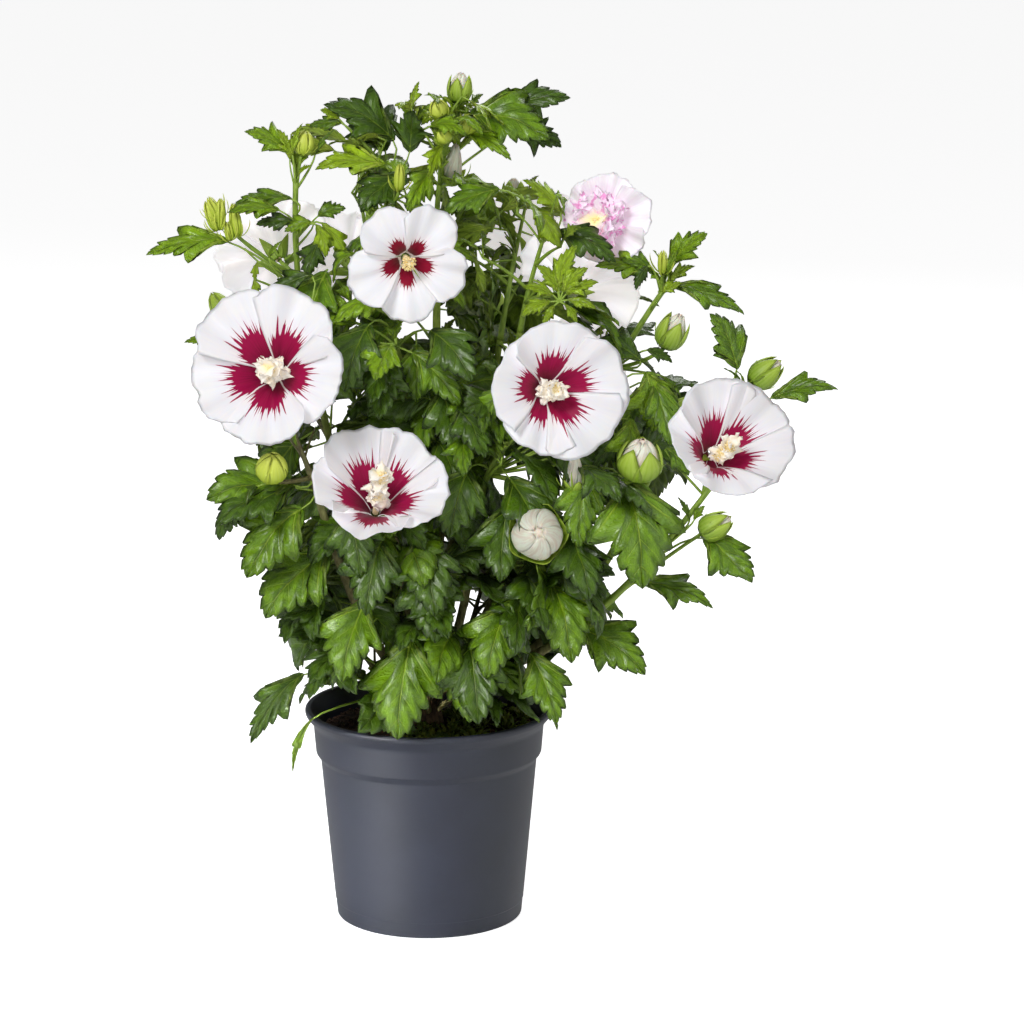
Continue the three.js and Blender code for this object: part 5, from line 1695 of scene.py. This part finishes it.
# wide is the radius and cover the height of the sepals, both in shares of the length, and blunt below 1
# moves the widest place up. rolled counts the petals that show, and flare parts the sepals
BUD_LOOKS = {
    "green": dict(wide=0.27, cover=1.0, blunt=0.85, calyx="green", rolled=0, flare=0),
    "lime": dict(wide=0.36, cover=1.0, blunt=0.95, calyx="lime", rolled=0, flare=0),
    "slim": dict(wide=0.125, cover=1.0, blunt=0.80, calyx="lime", rolled=0, flare=0),
    "ball": dict(wide=0.42, cover=1.0, blunt=0.74, calyx="lime", rolled=0, flare=0),
    "opening": dict(wide=0.31, cover=0.86, blunt=0.66, calyx="green", rolled=5, flare=0.06),
    "parting": dict(wide=0.33, cover=0.98, blunt=0.62, calyx="green", rolled=5, flare=0.03),
    "plump": dict(wide=0.42, cover=0.86, blunt=0.72, calyx="green", rolled=5, flare=0.02),
    "globe": dict(wide=0.40, cover=0.42, blunt=0.66, calyx="green", rolled=5, flare=0.03),
    "spent": dict(wide=0.17, cover=0.34, blunt=0.55, calyx="green", rolled=5, flare=0.02),
}
bud_hearts = Heap()
bud_rolls = Heap()


def hull(look, size, s):
    """Radii of a bud at shares of its height."""
    return look["wide"] * size * np.sin(math.pi * np.clip(s, 0, 1) ** look["blunt"]) ** 0.7


def rolled_petal(look, size, turn, draw):
    """One of the white petals that are still wound round the heart of a bud."""
    s, q = ROLL_SHELL.s, ROLL_SHELL.q
    round_body = hull(look, size, 0.06 + 0.90 * s)
    r = round_body * (0.96 + 0.07 * q + 0.02 * np.sin(5 * q + draw(*PHASE))) + 0.3
    angle = math.radians(turn) + math.radians(58) * q * (1 - 0.25 * s) + 1.1 * s
    z = size * (0.06 + 0.90 * s - 0.13 * s ** 3 * (q - 0.2) ** 2) + 0 * q
    return np.stack([r * np.cos(angle), r * np.sin(angle), z], -1)


def bud(tip, draw):
    look = BUD_LOOKS[tip.look]
    size = tip.size
    t = BUD_TUBE.shares()
    line = np.stack([0 * t, 0 * t, t * size * 0.96], -1)
    heap = lime_sepals if look["calyx"] == "lime" else sepals
    heart = bud_hearts if look["rolled"] else heap
    heart.add(BUD_TUBE.points(tip.placed(line), np.maximum(0.35, hull(look, size, t) * 0.94)), BUD_TUBE)
    for k in range(look["rolled"]):
        top = rolled_petal(look, size, 72 * k + draw(-6, 6), draw)
        bud_rolls.add(ROLL_SHELL.points(tip.placed(top), 0.4), ROLL_SHELL)
    s = np.linspace(0.02, look["cover"], SEPAL_ROWS)
    rise = s / look["cover"]
    away = 1.0 + look["flare"] * size * rise ** 3 + (0.06 * size * rise if look["rolled"] else 0)
    widest = TURN * look["wide"] * size / 5 * 1.56
    for k in range(5):
        top = sepal(72 * k + draw(-4, 4), hull(look, size, s) + away, s * size, widest, 0.34)
        heap.add(SEPAL_SHELL.points(tip.placed(top), 0.5), SEPAL_SHELL)
    bracts(tip, 0.5, 1.6, size * (0.62 if size > 20 else 0.85), 7, heap, draw)


bud_draw = Draws(577)
for name, tip in planned:
    if tip.kind == "bud":
        bud(tip, bud_draw)


def sepal_finish(name, base, tip_colour):
    f = Finish(name, Roughness=0.5)
    along, across, _ = f.sheet_place()
    ribs = abs((across * 2.5).rest() - 0.5).rises(0.5, 0.2)
    shaded = f.blend(along.rises(0.1, 0.95), base, tip_colour)
    f.feed("Base Color", f.blend(ribs * 0.2, shaded, paint(190, 206, 110)))
    f.bump(ribs, 0.25, 0.3)
    return f


bud_finish = Finish("bud_petal", Roughness=0.55, Subsurface_Weight=0.2, Subsurface_Scale=0.004)
bud_silk = bud_finish.map_grain(3, 30, 2)
bud_clouds = bud_finish.map_grain(4, 6, 2)
bud_finish.feed("Base Color", bud_finish.blend(
    (bud_silk * 0.5 + bud_clouds * 0.5).rises(0.38, 0.66), paint(246, 240, 222), paint(232, 212, 194)))
bud_finish.bump(bud_silk, 0.25, 0.5)
frills.make("bloom_frills", white_frill)
faded_frills.make("bloom_frills_faded", faded_frill)
columns.make("bloom_columns", column_finish)
anthers.make("bloom_anthers", anther_finish)
green_calyx = sepal_finish("sepal_green", paint(118, 154, 26), paint(166, 194, 54))
lime_calyx = sepal_finish("sepal_lime", paint(176, 200, 44), paint(206, 216, 80))
sepals.make("calyces_green", green_calyx)
lime_sepals.make("calyces_lime", lime_calyx)
bud_hearts.make("bud_hearts", bud_finish)
bud_rolls.make("bud_petals", bud_finish)

# %% [markdown]
# ## Bark
# The short main stem flares at the soil and is brown and cracked. The boughs are olive and turn green
# higher up, with raised dots where the bark breathes. Tubes with many rings carry real relief from noise,
# and the colour follows the height above the ground.

# %% Bark
BARK_SIDES = 24
RING_STEP = 2.5


def bark_finish():
    f = Finish("bark", Roughness=0.85)
    place = f.node("ShaderNodeTexCoord", out=ON_PIECE)
    height = f.node("ShaderNodeSeparateXYZ", {}, place, out=HEIGHT)
    sunward = f.node("ShaderNodeSeparateXYZ", {}, place)
    fine = f.grain(3, 4, (1, 1, 0.35))
    old = f.blend(fine.rises(0.35, 0.65), paint(74, 56, 38), paint(118, 96, 70))
    olive = f.blend(fine.rises(0.35, 0.65), paint(104, 98, 60), paint(138, 134, 88))
    green = f.blend(fine.rises(0.35, 0.65), paint(124, 146, 52), paint(150, 170, 72))
    lower = f.blend((height + fine * 0.05).rises(0.18, 0.26), old, olive)
    f.feed("Base Color", f.blend((height + sunward * 0.7 + fine * 0.06).rises(0.28, 0.42), lower, green))
    f.bump(f.grain(1.6, 4, (1, 1, 0.3)), 0.5, 0.6)
    return f


bark = bark_finish()


def bark_tube(name, shoot, radius_at, rough):
    """A limb with lengthwise cracks and raised dots."""
    rings = max(12, int(shoot.length() / RING_STEP))
    tube = Tube(rings, BARK_SIDES)
    t = tube.shares()
    path = shoot.at(t)
    radii = np.array([radius_at(x) for x in t])
    swell = np.ones((rings, BARK_SIDES))
    for k in range(rings):
        for j in range(BARK_SIDES):
            a = TURN * j / BARK_SIDES
            spot = Vector((math.cos(a) * 2.2, math.sin(a) * 2.2, t[k] * shoot.length() * 0.06))
            crack = noise.noise(spot * 1.7)
            dot = max(0.0, noise.noise(spot * 5 + Vector((7, 3, 1))) - 0.32)
            swell[k, j] = 1 + rough * crack * 0.10 + dot * 0.35
    one = Heap()
    one.add(tube.points(path, radii, swell), tube)
    node = name if name == "main_stem" else "bough_" + name
    return one.make("bark_" + name, bark, "bark", [node])


def stem_radius(t):
    flare = (STEM["flare_radius"] - STEM["radius"]) * (1 - min(1, t / STEM["flare_reach"])) ** 2
    return mix(STEM["radius"], STEM["top_radius"], t) + flare


bark_tube("main_stem", shoots["main_stem"], stem_radius, 1.6)
for name, (*_, radii) in BOUGHS.items():
    bark_tube(name, shoots[name], lambda t, ends=radii: mix(*ends, t), 0.8)

# %% [markdown]
# ## The pot
# A nursery pot is moulded in one piece: a rolled lip, a collar, a chamfer and a tapering body with a faint
# line near its foot. A profile turned round the axis gives it. Each corner of the profile has its own small
# rounding, because sharp corners never catch the light as moulded ones do.

# %% The pot
POT_SIDES = 168


def rounded(corners, steps=5):
    """A profile with each corner (radius, height, rounding) cut by a small curve."""
    made = []
    for k, (x, y, r) in enumerate(corners):
        here = point(x, y)
        if r == 0:
            made.append(here)
            continue
        before = point(*corners[k - 1][:2])
        after = point(*corners[k + 1][:2])
        one = here + unit(before - here) * r
        other = here + unit(after - here) * r
        for s in np.linspace(0, 1, steps):
            made.append((1 - s) ** 2 * one + 2 * s * (1 - s) * here + s ** 2 * other)
    return np.array(made)


p = POT
line_level = 12
line_radius = mix(p["base"], p["body_top_radius"], line_level / p["body_top"])
profile = rounded([
    (0.01, 1.2, 0), (60, 1.2, 0.8), (61, 0, 0.5), (p["base"], 0, 1.6),
    (line_radius, line_level, 0.2), (line_radius + 0.35, line_level + 0.5, 0.2),
    (p["body_top_radius"], p["body_top"], 1.5),
    (p["collar_foot_radius"], p["collar_foot"], 1.0), (p["collar_top_radius"], p["collar_top"], 2.5),
    (p["lip"] - 0.6, p["lip_level"] - 2.0, 0.9), (p["lip"], p["lip_level"] + 0.6, 1.0),
    (p["lip"] - 0.8, p["height"], 1.1), (p["lip_inner"], p["height"], 0.9),
    (p["collar_top_radius"] - p["wall"], p["collar_top"], 2.0),
    (p["collar_foot_radius"] - p["wall"], p["collar_foot"], 0.8),
    (p["body_top_radius"] - p["wall"], p["body_top"], 0.8),
    (p["base"] - p["wall"], p["floor"], 1.0), (0.01, p["floor"], 0),
])
angles = np.linspace(0, TURN, POT_SIDES + 1)
rows = len(profile)
number = np.arange(rows * POT_SIDES).reshape(rows, POT_SIDES)
number = np.concatenate([number, number[:, :1]], 1)


class PotWall:
    faces = grid_faces(number)[:, ::-1]
    spots = np.stack(np.meshgrid(np.linspace(0.01, 0.99, rows), np.linspace(0.01, 0.99, POT_SIDES + 1),
                                 indexing="ij"), -1).reshape(-1, 2)
    seam_too = np.arange(rows * (POT_SIDES + 1)).reshape(rows, -1)
    map = spots[grid_faces(seam_too)[:, ::-1]].reshape(-1, 2)


round_pot = np.stack([
    np.outer(profile[:, 0], np.cos(angles[:-1])), np.outer(profile[:, 0], np.sin(angles[:-1])),
    np.repeat(profile[:, 1:], POT_SIDES, 1)], -1).reshape(-1, 3)
pot_heap = Heap()
pot_heap.add(round_pot, PotWall)

plastic = Finish("pot_plastic", Specular_IOR_Level=0.6)
cloud = plastic.grain(38, 3)
speck = plastic.grain(0.9, 2)
plastic.feed("Base Color", plastic.blend(cloud.rises(0.3, 0.7), paint(34, 38, 50), paint(38, 42, 55)))
plastic.feed("Roughness", 0.45 + cloud * 0.06)
plastic.bump(speck + plastic.grain(7, 2, (0.15, 0.15, 3)) * 1.5, 0.10, 0.2)
pot_heap.make("pot_shell", plastic, "pot_plastic", ["pot"])

# %% [markdown]
# ## Soil
# The compost is nearly black, with crumbs and bits of bark. A round grid is lifted by noise, and crumbs are
# beads pushed out of shape and strewn over it.

# %% Soil
SOIL_RINGS = 44
SOIL_SIDES = 132
CRUMBS = 950


def soil_height(x, y):
    r = math.hypot(x, y)
    heap = mix(SOIL["crown"], SOIL["level"], min(1, r / SOIL["radius"]))
    humps = noise.noise(Vector((x * 0.12, y * 0.12, 0))) * 1.3
    lumps = noise.noise(Vector((x * 0.4, y * 0.4, 5))) * 0.7
    slump = 4.5 * max(0.0, r / SOIL["radius"] - 0.92) / 0.08
    return heap + (humps + lumps) - slump


class SoilBed:
    number = np.arange(SOIL_RINGS * SOIL_SIDES).reshape(SOIL_RINGS, SOIL_SIDES)
    number = np.concatenate([number, number[:, :1]], 1)
    faces = grid_faces(number)
    map = np.tile([(0.1, 0.1), (0.9, 0.1), (0.5, 0.9)], (len(faces), 1))


bed = []
for r in np.linspace(0.5, SOIL["radius"], SOIL_RINGS - 1):
    for a in np.linspace(0, TURN, SOIL_SIDES, endpoint=False):
        x, y = r * math.cos(a), r * math.sin(a)
        bed.append((x, y, soil_height(x, y)))
for a in np.linspace(0, TURN, SOIL_SIDES, endpoint=False):
    bed.append((SOIL["radius"] * math.cos(a) * 0.97, SOIL["radius"] * math.sin(a) * 0.97, 130))
bed_heap = Heap()
bed_heap.add(np.array(bed), SoilBed)

compost = Finish("compost", Roughness=0.95, Specular_IOR_Level=0.25)
lump = compost.grain(5, 4)
compost.feed("Base Color", compost.blend(lump.rises(0.35, 0.7), paint(26, 19, 15), paint(66, 48, 36)))
compost.bump(compost.grain(1.4, 4), 0.8, 1.0)
bed_heap.make("soil_bed", compost, "soil", ["soil"])

crumb_draw = Draws(733)
crumbs = Heap()
bark_bits = Heap()
for k in range(CRUMBS):
    r = SOIL["radius"] * 0.95 * math.sqrt(crumb_draw())
    a = crumb_draw(0, TURN)
    x, y = r * math.cos(a), r * math.sin(a)
    size = crumb_draw(0.7, 2.3)
    jag = np.array([[crumb_draw(0.65, 1.25)] for _ in range(12)])
    shape = Bead.points * jag * point(size * crumb_draw(0.8, 1.5), size, size * crumb_draw(0.4, 0.8))
    heap = bark_bits if k % 6 == 0 else crumbs
    heap.add(shape + point(x, y, soil_height(x, y) + size * 0.25), Bead)
crumbs.make("soil_crumbs", compost, "soil")
bits = Finish("bark_bits", Roughness=0.9)
bits.feed("Base Color", bits.blend(bits.grain(4, 3).rises(0.4, 0.6), paint(96, 58, 36), paint(58, 38, 28)))
bits.bump(bits.grain(1, 3), 0.5, 0.5)
bark_bits.make("soil_bark_bits", bits, "soil")

# %% [markdown]
# ## Weeds
# A cushion of small weeds has settled on the right half of the soil. Each is a handful of short leaves that
# fan out from one spot, and a coarse shell of three columns is enough for one.

# %% Weeds
TUFTS = 96
WEED_ROWS = 4
WEED_SHELL = even_shell(WEED_ROWS, 3)
weeds = Heap()
weed_draw = Draws(821)
for _ in range(TUFTS):
    r = SOIL["radius"] * 0.92 * math.sqrt(weed_draw(0.06, 1))
    a = math.radians(weed_draw(-118, 62))
    middle = point(r * math.cos(a), r * math.sin(a), 0)
    for k in range(int(weed_draw(6, 13))):
        out, side = out_and_round(weed_draw(0, 360))
        foot = middle + out * weed_draw(0, 5)
        foot[2] = soil_height(foot[0], foot[1]) - 0.4
        if math.hypot(foot[0], foot[1]) > SOIL["radius"] * 0.95:
            continue
        long = weed_draw(5, 13)
        run, climb = slope_line(weed_draw(50, 85), weed_draw(-10, 40), 1.0, long, WEED_ROWS)
        half = weed_draw(1.1, 2.8) * np.array([0.3, 1.0, 0.9, 0.12])
        centre = foot + run[:, None] * out + climb[:, None] * UP
        top = np.stack([centre - half[:, None] * side, centre - UP * 0.3, centre + half[:, None] * side], 1)
        weeds.add(WEED_SHELL.points(top, 0.2), WEED_SHELL)
weed_finish = Finish("weed", Roughness=0.6)
weed_finish.feed("Base Color", weed_finish.blend(
    weed_finish.grain(9, 2).rises(0.4, 0.65), paint(96, 122, 28), paint(140, 150, 46)))
weeds.make("soil_weeds", weed_finish)

# %% [markdown]
# ## Floor and light
# The plant stands on a plain white floor that runs out of sight, in the even light of a photo studio. A
# large soft lamp from the upper left gives the leaves their sheen, a weaker one fills from the right, and
# one from behind lights the rims of leaves and petals. A narrow strip, low on the left, shines on the pot
# alone and draws its tall soft highlight. A pale surround keeps the shadows open.

# %% Floor and light
bpy.ops.mesh.primitive_plane_add(size=60, location=(0, 0, 0))
floor = bpy.context.object
floor.name = "floor"
# The floor glows for the eye alone, so it stays white and casts no light on the plant
pale = Finish("floor", Roughness=0.9, Emission_Strength=0.72)
seen = pale.node("ShaderNodeLightPath")
pale.feed("Base Color", paint(250, 250, 250))
pale.feed("Emission Color", pale.blend(seen, (0, 0, 0, 1), (1, 1, 1, 1)))
floor.data.materials.append(pale.material)

world = bpy.data.worlds.new("studio")
bpy.context.scene.world = world
world.use_nodes = True
world.node_tree.nodes["Background"].inputs["Color"].default_value = (1, 1, 1, 1)
world.node_tree.nodes["Background"].inputs["Strength"].default_value = 0.22

# Each lamp has a place, the height that it aims at, a width, a height, a power and a spread in degrees
LAMPS = {
    "key": ((-0.95, -2.1, 1.9), 0.35, 0.8, 0.8, 47, 180),
    "strip": ((-1.05, -1.05, 0.12), 0.05, 0.14, 0.22, 0.26, 14),
    "fill": ((1.9, -1.5, 1.1), 0.35, 1.4, 1.4, 9, 180),
    "rim": ((0.6, 1.6, 1.9), 0.35, 1.2, 1.2, 22, 180),
}
for name, (place, aim, wide, tall, power, spread) in LAMPS.items():
    lamp = bpy.data.objects.new(name, bpy.data.lights.new(name, "AREA"))
    lamp.data.shape = "RECTANGLE"
    lamp.data.size = wide
    lamp.data.size_y = tall
    lamp.data.energy = power
    lamp.data.spread = math.radians(spread)
    lamp.location = place
    lamp.rotation_euler = (Vector((0, 0, aim)) - Vector(place)).to_track_quat("-Z", "Y").to_euler()
    bpy.context.scene.collection.objects.link(lamp)
bpy.context.scene.view_settings.view_transform = "Standard"
print(len(LAMPS), "lamps")
